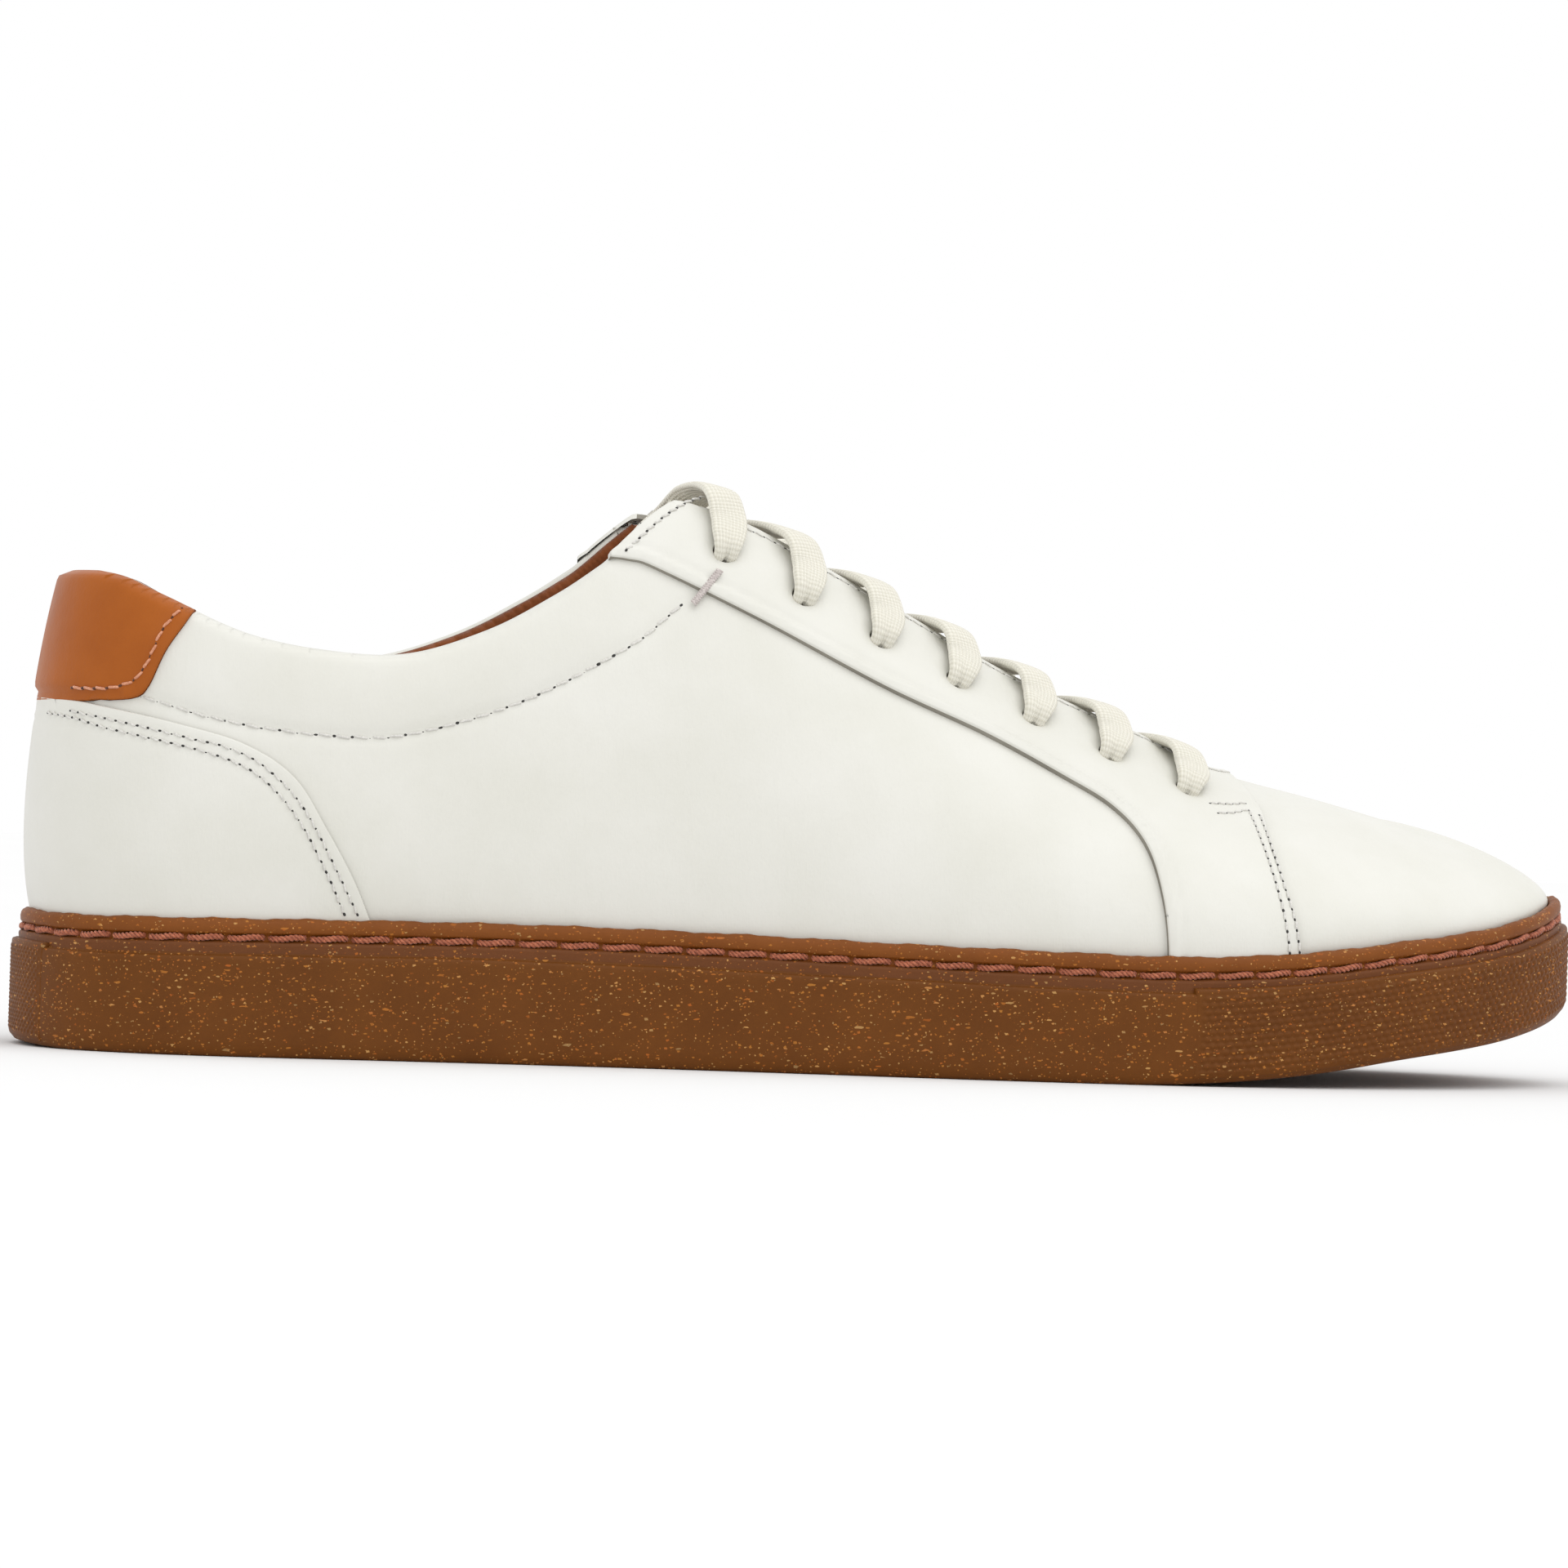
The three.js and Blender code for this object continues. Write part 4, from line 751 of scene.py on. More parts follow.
def camera():
    back = np.array([-math.sin(CAMERA_YAW), -math.cos(CAMERA_YAW), 0.0])
    right = np.cross(-back, [0, 0, 1])
    up = np.cross(right, -back)
    tilted = right * math.cos(CAMERA_ROLL) + up * math.sin(CAMERA_ROLL)
    upward = up * math.cos(CAMERA_ROLL) - right * math.sin(CAMERA_ROLL)
    data = bpy.data.cameras.new("camera")
    data.sensor_width = 36
    data.lens = 157.62
    data.shift_x = -0.0177
    data.shift_y = -0.0083
    data.clip_start, data.clip_end = 0.05, 20
    obj = bpy.data.objects.new("camera", data)
    where = placed(np.array([150, 0, 55.5]) + back * CAMERA_AWAY)
    m = np.eye(4)
    m[:3, 0], m[:3, 1], m[:3, 2], m[:3, 3] = tilted, upward, back, where
    from mathutils import Matrix

    obj.matrix_world = Matrix(m.tolist())
    bpy.context.scene.collection.objects.link(obj)
    bpy.context.scene.camera = obj


def light(name, where, aim, size, power):
    from mathutils import Vector

    data = bpy.data.lights.new(name, "AREA")
    data.shape = "RECTANGLE"
    data.size, data.size_y = size
    data.energy = power
    obj = bpy.data.objects.new(name, data)
    obj.location = where
    obj.rotation_euler = (Vector(aim) - Vector(where)).to_track_quat("-Z", "Y").to_euler()
    bpy.context.scene.collection.objects.link(obj)


def sky(name, toward, strength, width):
    """Very wide overhead light, as even over the floor as over the shoe."""
    from mathutils import Vector

    data = bpy.data.lights.new(name, "SUN")
    data.energy = strength
    data.angle = math.radians(width)
    obj = bpy.data.objects.new(name, data)
    obj.location = toward
    obj.rotation_euler = (-Vector(toward)).to_track_quat("-Z", "Y").to_euler()
    bpy.context.scene.collection.objects.link(obj)


def studio():
    world = bpy.data.worlds.new("studio")
    bpy.context.scene.world = world
    world.use_nodes = True
    background = world.node_tree.nodes["Background"]
    background.inputs["Color"].default_value = (1, 1, 1, 1)
    background.inputs["Strength"].default_value = 1.0
    scene = bpy.context.scene
    scene.view_settings.view_transform = "Standard"
    scene.view_settings.look = "None"
    sky("softbox_overhead", (0.35, -0.4, 1.0), 0.95, 75)
    light("softbox_front", (-0.5, -1.6, 0.7), (0, 0, 0.05), (1.2, 0.9), 1.5)
    m, tree, shader = material("floor", 0.9, Specular_IOR_Level=0.0)
    fac = noise(tree, 3.0, 2)
    tree.links.new(ramp(tree, fac, [(0.2, (0.775, 0.775, 0.775)), (0.8, (0.79, 0.79, 0.79))]), shader.inputs["Base Color"])
    size = 3.0
    corners = [(-size, -size, 0), (size, -size, 0), (size, size, 0), (-size, size, 0)]
    me = bpy.data.meshes.new("floor")
    me.from_pydata(corners, [], [(0, 1, 2, 3)])
    me.materials.append(m)
    floor = bpy.data.objects.new("floor", me)
    bpy.context.scene.collection.objects.link(floor)


camera()
studio()

# ---------------------------------------------------------------- lace
LACE_THICKNESS = 2.0  # soft hollow braid, pressed flat
LACE_WIDTH = 7.5
LACE_NECK = 4.3  # where it is squeezed through an eyelet
LACE_OVER = 2.75  # middle of the lace over the base leather
BELOW = 5.3  # and under it, inside
LACE_CROSSING = 1.15  # each strand over or under the middle where two cross
EDGE_STEP = 0.14
END_DROP = [
    [121, 0.74, 6.8], [119.5, 0.62, 7.2], [117, 0.5, 7.6], [112, 0.36, 8.0], [105, 0.24, 8.4], [95, 0.13, 8.6],
    [84, 0.05, 8.4],
]
END_FLOOR = [72, 62, 51, 40]
END_INSET = 13.5
END_LIFT = 1.5

eyelet_height = natural(EYELETS)
_x = np.linspace(EYELETS[0][0], EYELETS[2][0], EYELET_COUNT)
_t, _v = locate(_x, eyelet_height(_x), -1)
eyelets = [(float(inset(np.array(a), UPPER_INSET)[0]), float(b)) for a, b in zip(_t, _v)]


def on_skin(x, side, v, depth=0.0):
    return under(np.array(parameter(x, side)), np.array(v), np.array(depth))


def normal_at(x, side, v):
    return skin_normal(np.array(parameter(x, side)), np.array(v))


def mark(x, side, v, depth, width, face=1):
    """Point of the lace's route: place, direction of one face, width, and which face looks away from the leather."""
    return on_skin(x, side, v, depth), face * normal_at(x, side, v), width, face


def eyelet_at(i):
    return eyelets[min(max(i, 0), EYELET_COUNT - 1)]


def strand(start, lift):
    """Route of one strand from the toe end up to the ankle, then its tucked end."""
    route = []
    side, face = start, 1
    for i in range(EYELET_COUNT - 1, -1, -1):
        u, v = eyelet_at(i)
        up = unit(on_skin(u, side, v + 0.06) - on_skin(u, side, v))
        for x, dv, depth in ((u + 0.3, -0.004, BELOW - 0.6), (u, -0.005, 2.2), (u, -0.009, -0.8)):
            route.append((on_skin(x, side, v + dv, depth), face * up, LACE_NECK, -face))
        face = -face
        route.append(mark(u + 0.1, side, v + 0.004, -LACE_OVER + 0.35, 5.3, face))
        route.append(mark(u + 0.4, side, v + 0.03, -LACE_OVER - 0.1, 6.7, face))
        route.append(mark(u + 0.8, side, v + 0.08, -LACE_OVER, LACE_WIDTH, face))
        nu, nv = eyelet_at(i - 1) if i > 0 else (u - 5, v + 0.02)
        over_edge = mark(u * 0.95 + nu * 0.05, side, v + EDGE_STEP, -LACE_OVER - 0.9, LACE_WIDTH, face)
        inner = mark(u * 0.3 + nu * 0.7, -side, nv + EDGE_STEP, BELOW + 0.5, LACE_WIDTH, face)
        middle = (over_edge[0] + inner[0]) / 2
        middle[2] += 1.2 + lift * LACE_CROSSING * (1 if i % 2 == 0 else -1)
        ridge_up = normal_at(u * 0.5 + nu * 0.5, -1, 0.97)
        route += [over_edge, (middle, face * ridge_up, LACE_WIDTH, face), inner]
        side = -side
    return route + loose_end(side, face)


def floor_point(x, side, lift):
    p = inset(np.array(parameter(x, side)), END_INSET)
    return np.array([p[0], p[1], underside(x) + COVER_TOP + lift])


def loose_end(side, face):
    drop = [mark(u, side, v, depth, LACE_WIDTH - 1.5, face) for u, v, depth in END_DROP]
    up = np.array([0.0, 0.0, 1.0])
    flat = [
        (floor_point(x, side, END_LIFT), face * up, 2.6 if x == END_FLOOR[-1] else LACE_WIDTH - 1.5, face)
        for x in END_FLOOR
    ]
    return drop + flat


def centripetal(points, per):
    """The route's smooth centreline, as three.js draws its centripetal curve."""
    p = np.array(points)
    p = np.vstack([2 * p[0] - p[1], p, 2 * p[-1] - p[-2]])
    out = []
    for i in range(1, len(p) - 2):
        p0, p1, p2, p3 = p[i - 1 : i + 3]
        d0, d1, d2 = (max(np.linalg.norm(b - a) ** 0.5, 1e-4) for a, b in ((p0, p1), (p1, p2), (p2, p3)))
        t1 = ((p1 - p0) / d0 - (p2 - p0) / (d0 + d1) + (p2 - p1) / d1) * d1
        t2 = ((p2 - p1) / d1 - (p3 - p1) / (d1 + d2) + (p3 - p2) / d2) * d1
        f = np.linspace(0, 1, per, endpoint=False)[:, None]
        out.append(
            p1 + t1 * f + (-3 * p1 + 3 * p2 - 2 * t1 - t2) * f**2 + (2 * p1 - 2 * p2 + t1 + t2) * f**3
        )
    return np.vstack([*out, p[-2:-1]])


LACE_SECTION = 28
LACE_STEP = 0.45


def smooth_frames(line, normals, window=5):
    tangent = unit(np.gradient(line, axis=0))
    kernel = np.ones(window) / window
    pad = window // 2
    smoothed = np.stack(
        [np.convolve(np.pad(normals[:, k], pad, mode="edge"), kernel, mode="valid") for k in range(3)], 1
    )
    side = unit(np.cross(tangent, smoothed))
    return tangent, side, unit(np.cross(side, tangent))


def lace():
    bar_x = eyelet_at(EYELET_COUNT - 1)[0] + 1
    bars = [mark(bar_x, 1, 0.8, BELOW, LACE_WIDTH), mark(bar_x, -1, 1, BELOW + 0.2, LACE_WIDTH)]
    bars.append(mark(bar_x, -1, 0.8, BELOW, LACE_WIDTH))
    route = strand(1, -1)[::-1] + bars + strand(-1, 1)
    per = 10
    line = centripetal([r[0] for r in route], per)
    f = np.arange(len(line)) / per
    index = np.arange(len(route))
    normals = np.stack([np.interp(f, index, [r[1][k] for r in route]) for k in range(3)], 1)
    width = np.interp(f, index, [r[2] for r in route])
    s = np.concatenate([[0], np.cumsum(np.linalg.norm(np.diff(line, axis=0), axis=1))])
    at = np.linspace(0, s[-1], int(s[-1] / LACE_STEP))
    line = np.stack([np.interp(at, s, line[:, k]) for k in range(3)], 1)
    normals = np.stack([np.interp(at, s, normals[:, k]) for k in range(3)], 1)
    width = np.interp(at, s, width)
    at_route = np.interp(at, s, f)
    kernel = np.ones(5) / 5
    width = np.convolve(np.pad(width, 2, mode="edge"), kernel, mode="valid")
    tangent, side, up = smooth_frames(line, normals)
    # A flat woven tube: wider than thick, thicker and folded along its middle where a hole squeezes it.
    squeeze = np.clip((LACE_WIDTH - width) / (LACE_WIDTH - LACE_NECK), 0, 1)
    face = np.interp(at_route, index, [r[3] for r in route])
    half_w = width / 2
    half_t = LACE_THICKNESS / 2 * (1 + 0.45 * squeeze)
    angle = np.linspace(0, 2 * np.pi, LACE_SECTION, endpoint=False)
    c, q = np.cos(angle), np.sin(angle)
    shape_w = np.sign(c) * np.abs(c) ** 0.7
    shape_t = np.sign(q) * np.abs(q) ** 0.8
    fold = 0.75 * np.exp(-((shape_w / 0.3) ** 2))
    outer = (np.sign(q) * np.sign(face)[:, None]) > 0
    shape_t = shape_t * (1 - np.where(outer, fold * squeeze[:, None] ** 1.5, 0))
    points = (
        line[:, None, :]
        + side[:, None, :] * (half_w[:, None] * shape_w)[..., None]
        + up[:, None, :] * (half_t[:, None] * shape_t)[..., None]
    )
    n = len(line)
    faces = []
    for i in range(n - 1):
        a, b = i * LACE_SECTION, (i + 1) * LACE_SECTION
        for k in range(LACE_SECTION):
            j = (k + 1) % LACE_SECTION
            faces.append((a + k, a + j, b + j, b + k))
    faces.append(tuple(range(LACE_SECTION))[::-1])
    faces.append(tuple((n - 1) * LACE_SECTION + k for k in range(LACE_SECTION)))
    around = np.tile(shape_w, (n, 1)) * LACE_WIDTH / 2000
    run = np.repeat(at[:, None], LACE_SECTION, 1) / 1000
    uv = np.stack([run, around], -1).reshape(-1, 2)
    obj = mesh_object("lace_woven", points.reshape(-1, 3), faces, [LACE_MAT], uv=uv)
    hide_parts("lace")
    return obj, line, at[-1]


def lathe(name, profile, start, heading, materials, steps=24, body="shoe"):
    """Turned piece along a heading from a profile of (distance, radius)."""
    heading = unit(heading)
    a = unit(np.cross(heading, [0, 0, 1.0]))
    b = np.cross(heading, a)
    angle = np.linspace(0, 2 * np.pi, steps, endpoint=False)
    points = [
        start + heading * d + r * (np.cos(w) * a + np.sin(w) * b) for d, r in profile for w in angle
    ]
    faces = []
    for i in range(len(profile) - 1):
        for k in range(steps):
            j = (k + 1) % steps
            faces.append((i * steps + k, i * steps + j, (i + 1) * steps + j, (i + 1) * steps + k))
    faces.append(tuple(range(steps))[::-1])
    faces.append(tuple((len(profile) - 1) * steps + k for k in range(steps)))
    return mesh_object(name, np.array(points), faces, materials, body)


AGLET_LENGTH = 14
AGLET_RADIUS = 1.3


def aglets():
    made = []
    for side, name in ((-1, "medial"), (1, "lateral")):
        x = END_FLOOR[-1]
        start = floor_point(x, side, AGLET_RADIUS + 0.3)
        before = floor_point(x + 4, side, AGLET_RADIUS + 0.3)
        heading = start - before
        heading[2] = 0
        r = AGLET_RADIUS
        profile = [(-0.6, r * 0.9), (0, r), (3, r), (3.3, r * 0.9), (3.8, r * 0.9), (4.1, r * 0.97)]
        profile += [(9, r * 0.93), (9.3, r * 0.85), (9.8, r * 0.85), (10.1, r * 0.9)]
        profile += [(AGLET_LENGTH - 0.8, r * 0.85), (AGLET_LENGTH - 0.2, r * 0.7), (AGLET_LENGTH, r * 0.35)]
        obj = lathe(f"aglet_{name}_tip", profile, start + unit(heading) * 0.3, heading, [TIP_MAT])
        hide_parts(f"aglet_{name}")
        made.append(obj)
    return made


lace_obj, lace_line, lace_length = lace()
tips = aglets()

# ---------------------------------------------------------------- upper
CUT_EDGE = 0.22  # rounding of a cut edge
OVERLAY_TOP = 1.05  # overlays stand this far over the base leather
SIDES = ((-1, "lateral"), (1, "medial"))


def spaced(points, step=1.0):
    return resample(catmull(points), step)


collar_line = spaced(COLLAR)
seam_line = spaced(EYESTAY_SEAM)
front_line = spaced(EYESTAY_FRONT)
counter_line = spaced(COUNTER_EDGE)
tab_line = spaced(HEEL_TAB_EDGE)
stitch_line = spaced([[-4, 65.5], *COLLAR_STITCH])
collar_stitch_height = natural([[-4, 65.5], *COLLAR_STITCH])


def shifted(line, distance):
    """Moves a line sideways in its plane, to its left when positive."""
    d = unit(np.gradient(np.asarray(line, float), axis=0))
    return line + distance * np.stack([-d[:, 1], d[:, 0]], 1)


def throat_outline(margin):
    end = THROAT[-1][0]
    x = np.linspace(THROAT[0][0], end, 60)
    half = throat_width(x) + margin
    nose = THROAT_END + margin - end
    a = np.linspace(0, np.pi / 2, 24)[1:]
    nx = end + nose * np.sin(a)
    x = np.concatenate([x, nx])
    half = np.concatenate([half, (throat_width(end) + margin) * np.cos(a)])
    middle = spine_sideways(x)
    return np.stack([x, middle - half], 1), np.stack([x, middle + half], 1)


THROAT_LATERAL, THROAT_MEDIAL = throat_outline(0)
THROAT_POLYGON = np.vstack([THROAT_LATERAL, THROAT_MEDIAL[::-1]])
COLLAR_BACK = 88.4  # height of the collar across the back of the heel
OPENING = np.vstack(
    [[[-20, COLLAR_BACK], [12, COLLAR[1][1]]], collar_line[collar_line[:, 0] > 12], [[150, 160], [-20, 160]]]
)
FRONT_END = 200.0

above_collar = in_polygon(GRID_P[:, 0], GRID_P[:, 2], OPENING)
in_throat = in_polygon(GRID_P[:, 0], GRID_P[:, 1], THROAT_POLYGON) & (GRID_P[:, 2] > 45)
CLEAR = ~above_collar & ~in_throat


def by_side(side):
    """Whether grid points are on one side, the shared ridge and ends counted with both."""
    if side == 0:
        return np.ones(len(GRID_T), bool)
    middle = spine_sideways(GRID_P[:, 0])
    if side < 0:
        return (GRID_T <= TOE_T + 1e-9) | (GRID_V > 1 - 1e-9)
    return (GRID_T >= TOE_T - 1e-9) | (GRID_V > 1 - 1e-9) | (GRID_T <= HEEL_T + 1e-9)


def trimmed(samples, *tests):
    """Samples of an edge whose points pass every test."""
    p = skin(samples[:, 0], samples[:, 1])
    keep = np.ones(len(samples), bool)
    for test in tests:
        keep &= test(p)
    return samples[keep]


def side_polygon(polygon, margin=0.0):
    return lambda p: in_polygon(p[:, 0], p[:, 2], polygon)


below_collar = lambda p: ~in_polygon(p[:, 0], p[:, 2] + 0.05, OPENING) | (p[:, 0] > 127.5)
outside_throat = lambda p: ~in_polygon(p[:, 0], p[:, 1], THROAT_POLYGON * [1, 1]) | (p[:, 2] < 45)

_seam = {side: edge(EYESTAY_SEAM, side) for side in (-1, 1)}
_front = {side: edge(EYESTAY_FRONT, side) for side in (-1, 1)}
_counter = {side: edge(COUNTER_EDGE[1:], side) for side in (-1, 1)}
_tab = {side: edge(HEEL_TAB_EDGE[:-1], side) for side in (-1, 1)}


def level_edge(z0, z1, side):
    """Edge from the back of the heel forward at nearly one height."""
    t = np.linspace(HEEL_T, parameter(24, -1), 240) if side < 0 else np.linspace(parameter(24, 1), HEEL_T + 1, 240)
    v = np.linspace(0, 1, 200)
    p = skin(t[:, None], v[None, :])
    out = []
    for i in range(len(t)):
        x = p[i, :, 0]
        z = p[i, :, 2]
        goal = z0 + (z1 - z0) * np.clip(x / 12, 0, 1)
        k = int(np.argmax(z - goal > 0))
        out.append((t[i], np.interp(0, [(z - goal)[k - 1], (z - goal)[k]], [v[k - 1], v[k]]), x[k]))
    out = np.array(out)
    return out[:, :2][(out[:, 2] < 12.2)]


def collar_edge(side):
    back = level_edge(COLLAR_BACK, COLLAR[1][1], side)
    return np.vstack([back if side < 0 else back[::-1], edge(COLLAR[1:], side)])


_collar = {side: collar_edge(side) for side in (-1, 1)}


def throat_edge(side):
    line = THROAT_LATERAL if side < 0 else THROAT_MEDIAL
    line = resample(line, 0.6)
    t, v = locate(line[:, 0], line[:, 1], side, (0, 1))
    p = skin(t, v)
    s = np.concatenate([[0], np.cumsum(np.linalg.norm(np.diff(p, axis=0), axis=1))])
    at = np.linspace(0, s[-1], int(s[-1] / 0.2))
    return np.stack([np.interp(at, s, t), np.interp(at, s, v)], 1)


_throat = {side: throat_edge(side) for side in (-1, 1)}


def circle_on_skin(t, v, radius, count=60):
    e = 1e-4
    t, v = np.array(t), np.array(v)
    pt = (skin(t + e, v) - skin(t - e, v)) / (2 * e)
    pv = (skin(t, v + e) - skin(t, v - e)) / (2 * e)
    n = skin_normal(t, v)
    a = unit(pv)
    b = np.cross(n, a)
    angle = np.linspace(0, 2 * np.pi, count, endpoint=False)
    off = radius * (np.cos(angle)[:, None] * a + np.sin(angle)[:, None] * b)
    basis = np.stack([pt, pv], 1)
    solved = np.linalg.lstsq(basis, off.T, rcond=None)[0].T
    return np.stack([t + solved[:, 0], v + solved[:, 1]], 1)


eyelet_tv = {side: [(float(parameter(u, side)), v) for u, v in eyelets] for side in (-1, 1)}


def outside_eyelets(side, radius):
    centres = skin(*np.array(eyelet_tv[side]).T)

    def test(p):
        return np.stack([np.linalg.norm(p - c, axis=1) > radius for c in centres]).all(0)

    return test


def collar_depth(panel, x, sd):
    """Rounding of the leather over the padded collar."""
    r = 2.3 - 1.3 * smoothstep(x, 98, 118)
    f = np.clip(sd, 0, None)
    return np.where(f < r, r - np.sqrt(np.clip(r * r - (r - f) ** 2, 0, None)), 0), r


_collar_p = np.concatenate([skin(_collar[s][:, 0], _collar[s][:, 1]) for s in (-1, 1)])
_stitch = {side: edge([*COLLAR_STITCH], side) for side in (-1, 1)}
_stitch_p = np.concatenate([skin(_stitch[s][:, 0], _stitch[s][:, 1]) for s in (-1, 1)])


def soft_shape(p):
    """Height of the padded collar and of the dimple along its stitching, over the skin."""
    d_collar, _ = nearest(p, _collar_p)
    d_stitch, _ = nearest(p, _stitch_p)
    above = (p[:, 2] > collar_stitch_height(p[:, 0])) & (p[:, 0] < 122)
    fade = 1 - smoothstep(p[:, 0], 98, 118)
    pad = np.where(above, 0.85 * np.sin(np.pi * np.clip(d_stitch / (d_stitch + d_collar + 1e-6), 0, 1)) ** 0.8, 0) * fade
    groove = -0.28 * np.exp(-((d_stitch / 1.1) ** 2))
    x = p[:, 0]
    r = 2.3 - 1.3 * smoothstep(x, 98, 118)
    f = np.clip(d_collar, 0, None)
    low = x < 127.5
    rounding = np.where((f < r) & low, r - np.sqrt(np.clip(r * r - (r - f) ** 2, 0, None)), 0)
    return pad + groove - rounding, r


def creases(p):
    """Fine vertical flex wrinkles, as real relief, where the ankle bends."""
    x, z = p[:, 0], p[:, 2]
    total = np.zeros(len(p))
    for cx, cz, w, tall, pitch, lean, deep in (
        (60, 68, 5, 9, 1.5, 0.25, 0.05), (106, 87, 8, 6, 1.7, 0.9, 0.06), (80, 62, 9, 16, 2.6, -0.2, 0.035),
        (218, 62, 9, 8, 2.3, -0.8, 0.04),
    ):
        a = x - cx + lean * (z - cz)
        wave = np.sin(2 * np.pi * a / pitch + 1.7 * np.sin(z / 3.1) + 0.9 * np.sin(z / 1.7 + x / 5))
        total += deep * wave * np.exp(-((a / w) ** 2) - ((z - cz) / tall) ** 2)
    return total


def cut_rings(panel, verts, h):
    """A clean cut edge: rounded over, then a cut face down into the layer below, which the eyestays and the counter
    colour darker, partly as the edge's own colour and partly as painted shade under the edge.
    """
    one = np.ones(len(verts))
    return [(0.14 * one, h - 0.05), (0.26 * one, h - CUT_EDGE), (0.32 * one, h - 0.5), (0.42 * one, h - 2.2)]


def collar_rings(panel, verts, h):
    """Rolls the rim over the padding where it is the collar edge, and cuts it elsewhere."""
    x = panel.p[verts, 0]
    r = 2.3 - 1.3 * smoothstep(x, 98, 118)
    collar = panel.tag[verts] == "collar"
    rings = []
    cuts = cut_rings(panel, verts, h)
    cuts = [cuts[0], cuts[1], cuts[2], cuts[2], cuts[3], cuts[3]]
    for k, angle in enumerate(np.radians([22, 45, 67, 90, 90, 90])):
        drop = 0 if k < 4 else (1.2 if k == 4 else 2.6)
        o = -(r - r * np.cos(angle)) - drop
        hh = h - r * np.sin(angle)
        rings.append((np.where(collar, o, cuts[k][0]), np.where(collar, hh, cuts[k][1])))
    return rings


FAR = 400
EYESTAY_REGION = np.vstack(
    [seam_line, [[209.6, 0], [235.8, 0]], front_line[::-1], [[229.6, 200], [100, 200], [100, 94]]]
)
COUNTER_REGION = np.vstack([counter_line, [[65, -5], [-20, -5], [-20, 63.2]]])
TAB_REGION = np.vstack([tab_line, [[-20, 64.2], [-20, 200], [30.2, 200]]])
SEAM_LAP = shifted(seam_line, 4.0)
QUARTER_REGION = np.vstack(
    [[[-20, 56]], shifted(counter_line, -3.0)[6:], SEAM_LAP[::-1][:-11], [[113, 130], [-20, 130]]]
)
LAP = 5.0
VAMP_LINE = shifted(front_line, -LAP)
VAMP_REGION = np.vstack([[[VAMP_LINE[0][0], 200]], VAMP_LINE, [[VAMP_LINE[-1][0], -5], [340, -5], [340, 200]]])


def eyestay(side, name):
    holes = outside_eyelets(side, EYELET_RADIUS)

    def inside(p, t):
        return by_side(side) & CLEAR & in_polygon(p[:, 0], p[:, 2], EYESTAY_REGION) & holes(p)

    within = side_polygon(EYESTAY_REGION)
    lines = [
        ("seam", _seam[side]),
        ("front", trimmed(_front[side], outside_throat)),
        ("collar", trimmed(_collar[side], lambda p: (p[:, 0] > 105), lambda p: (p[:, 0] < 128.6))),
        ("throat", trimmed(_throat[side], lambda p: in_polygon(p[:, 0], p[:, 2], EYESTAY_REGION), below_collar)),
    ]
    lines += [("hole", circle_on_skin(t, v, EYELET_RADIUS)) for t, v in eyelet_tv[side]]
    panel = Panel(inside, lines)
    seam_p = skin(_seam[side][:, 0], _seam[side][:, 1])

    def height(pl):
        d, _ = nearest(pl.p, seam_p)
        bead = 0.42 * np.exp(-(((d - 1.1) / 0.75) ** 2)) - 0.26 * np.exp(-(((d - 2.7) / 0.5) ** 2))
        soft, _ = soft_shape(pl.p)
        hole_d = np.min([np.linalg.norm(pl.p - c, axis=1) for c in skin(*np.array(eyelet_tv[side]).T)], axis=0)
        dish = -0.35 * np.exp(-((hole_d - EYELET_RADIUS) / 1.3))
        near_collar = np.where(pl.p[:, 0] < 127.5, soft, 0)
        return OVERLAY_TOP + bead + dish + near_collar * 0.5 + creases(pl.p)

    # Its cut edge faces are coloured darker, partly as painted shade under the raised edge.
    obj = panel.build(f"eyestay_{name}_leather", [WHITE, RAW_EDGE_SHADE], height, cut_rings, cut_from=3)
    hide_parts(f"eyestay_{name}", f"eyelet_reinforcement_{name}")
    return panel


def quarter(side, name):
    def inside(p, t):
        region = in_polygon(p[:, 0], p[:, 2], QUARTER_REGION)
        return by_side(side) & CLEAR & region

    lap_edge = edge(QUARTER_REGION[1:-2], side, smooth=False)
    lines = [("collar", trimmed(_collar[side], lambda p: p[:, 0] < 113.5)), ("lap", lap_edge)]
    panel = Panel(inside, lines)
    panel.tag = np.where(panel.tag == "collar", "collar", "cut")
    seam_p = skin(_seam[side][:, 0], _seam[side][:, 1])

    def height(pl):
        soft, _ = soft_shape(pl.p)
        d, _ = nearest(pl.p, seam_p)
        tuck = -0.3 * np.exp(-((d / 1.6) ** 2))
        return soft + tuck + creases(pl.p)

    obj = panel.build(f"quarter_{name}_leather", [WHITE], height, collar_rings)
    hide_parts(f"quarter_{name}")
    return panel


def vamp():
    def inside(p, t):
        return CLEAR & in_polygon(p[:, 0], p[:, 2], VAMP_REGION)

    lines = []
    for side, _ in SIDES:
        lines.append(("lap", edge(VAMP_LINE, side, smooth=False)))
        lines.append(("throat", trimmed(_throat[side], side_polygon(VAMP_REGION))))
    panel = Panel(inside, lines)
    front_p = np.concatenate([skin(_front[s][:, 0], _front[s][:, 1]) for s in (-1, 1)])

    def height(pl):
        d, _ = nearest(pl.p, front_p)
        return -0.2 * np.exp(-((d / 1.8) ** 2)) + creases(pl.p)

    obj = panel.build("toe_vamp_leather", [WHITE], height, cut_rings)
    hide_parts("toe_vamp")
    return panel


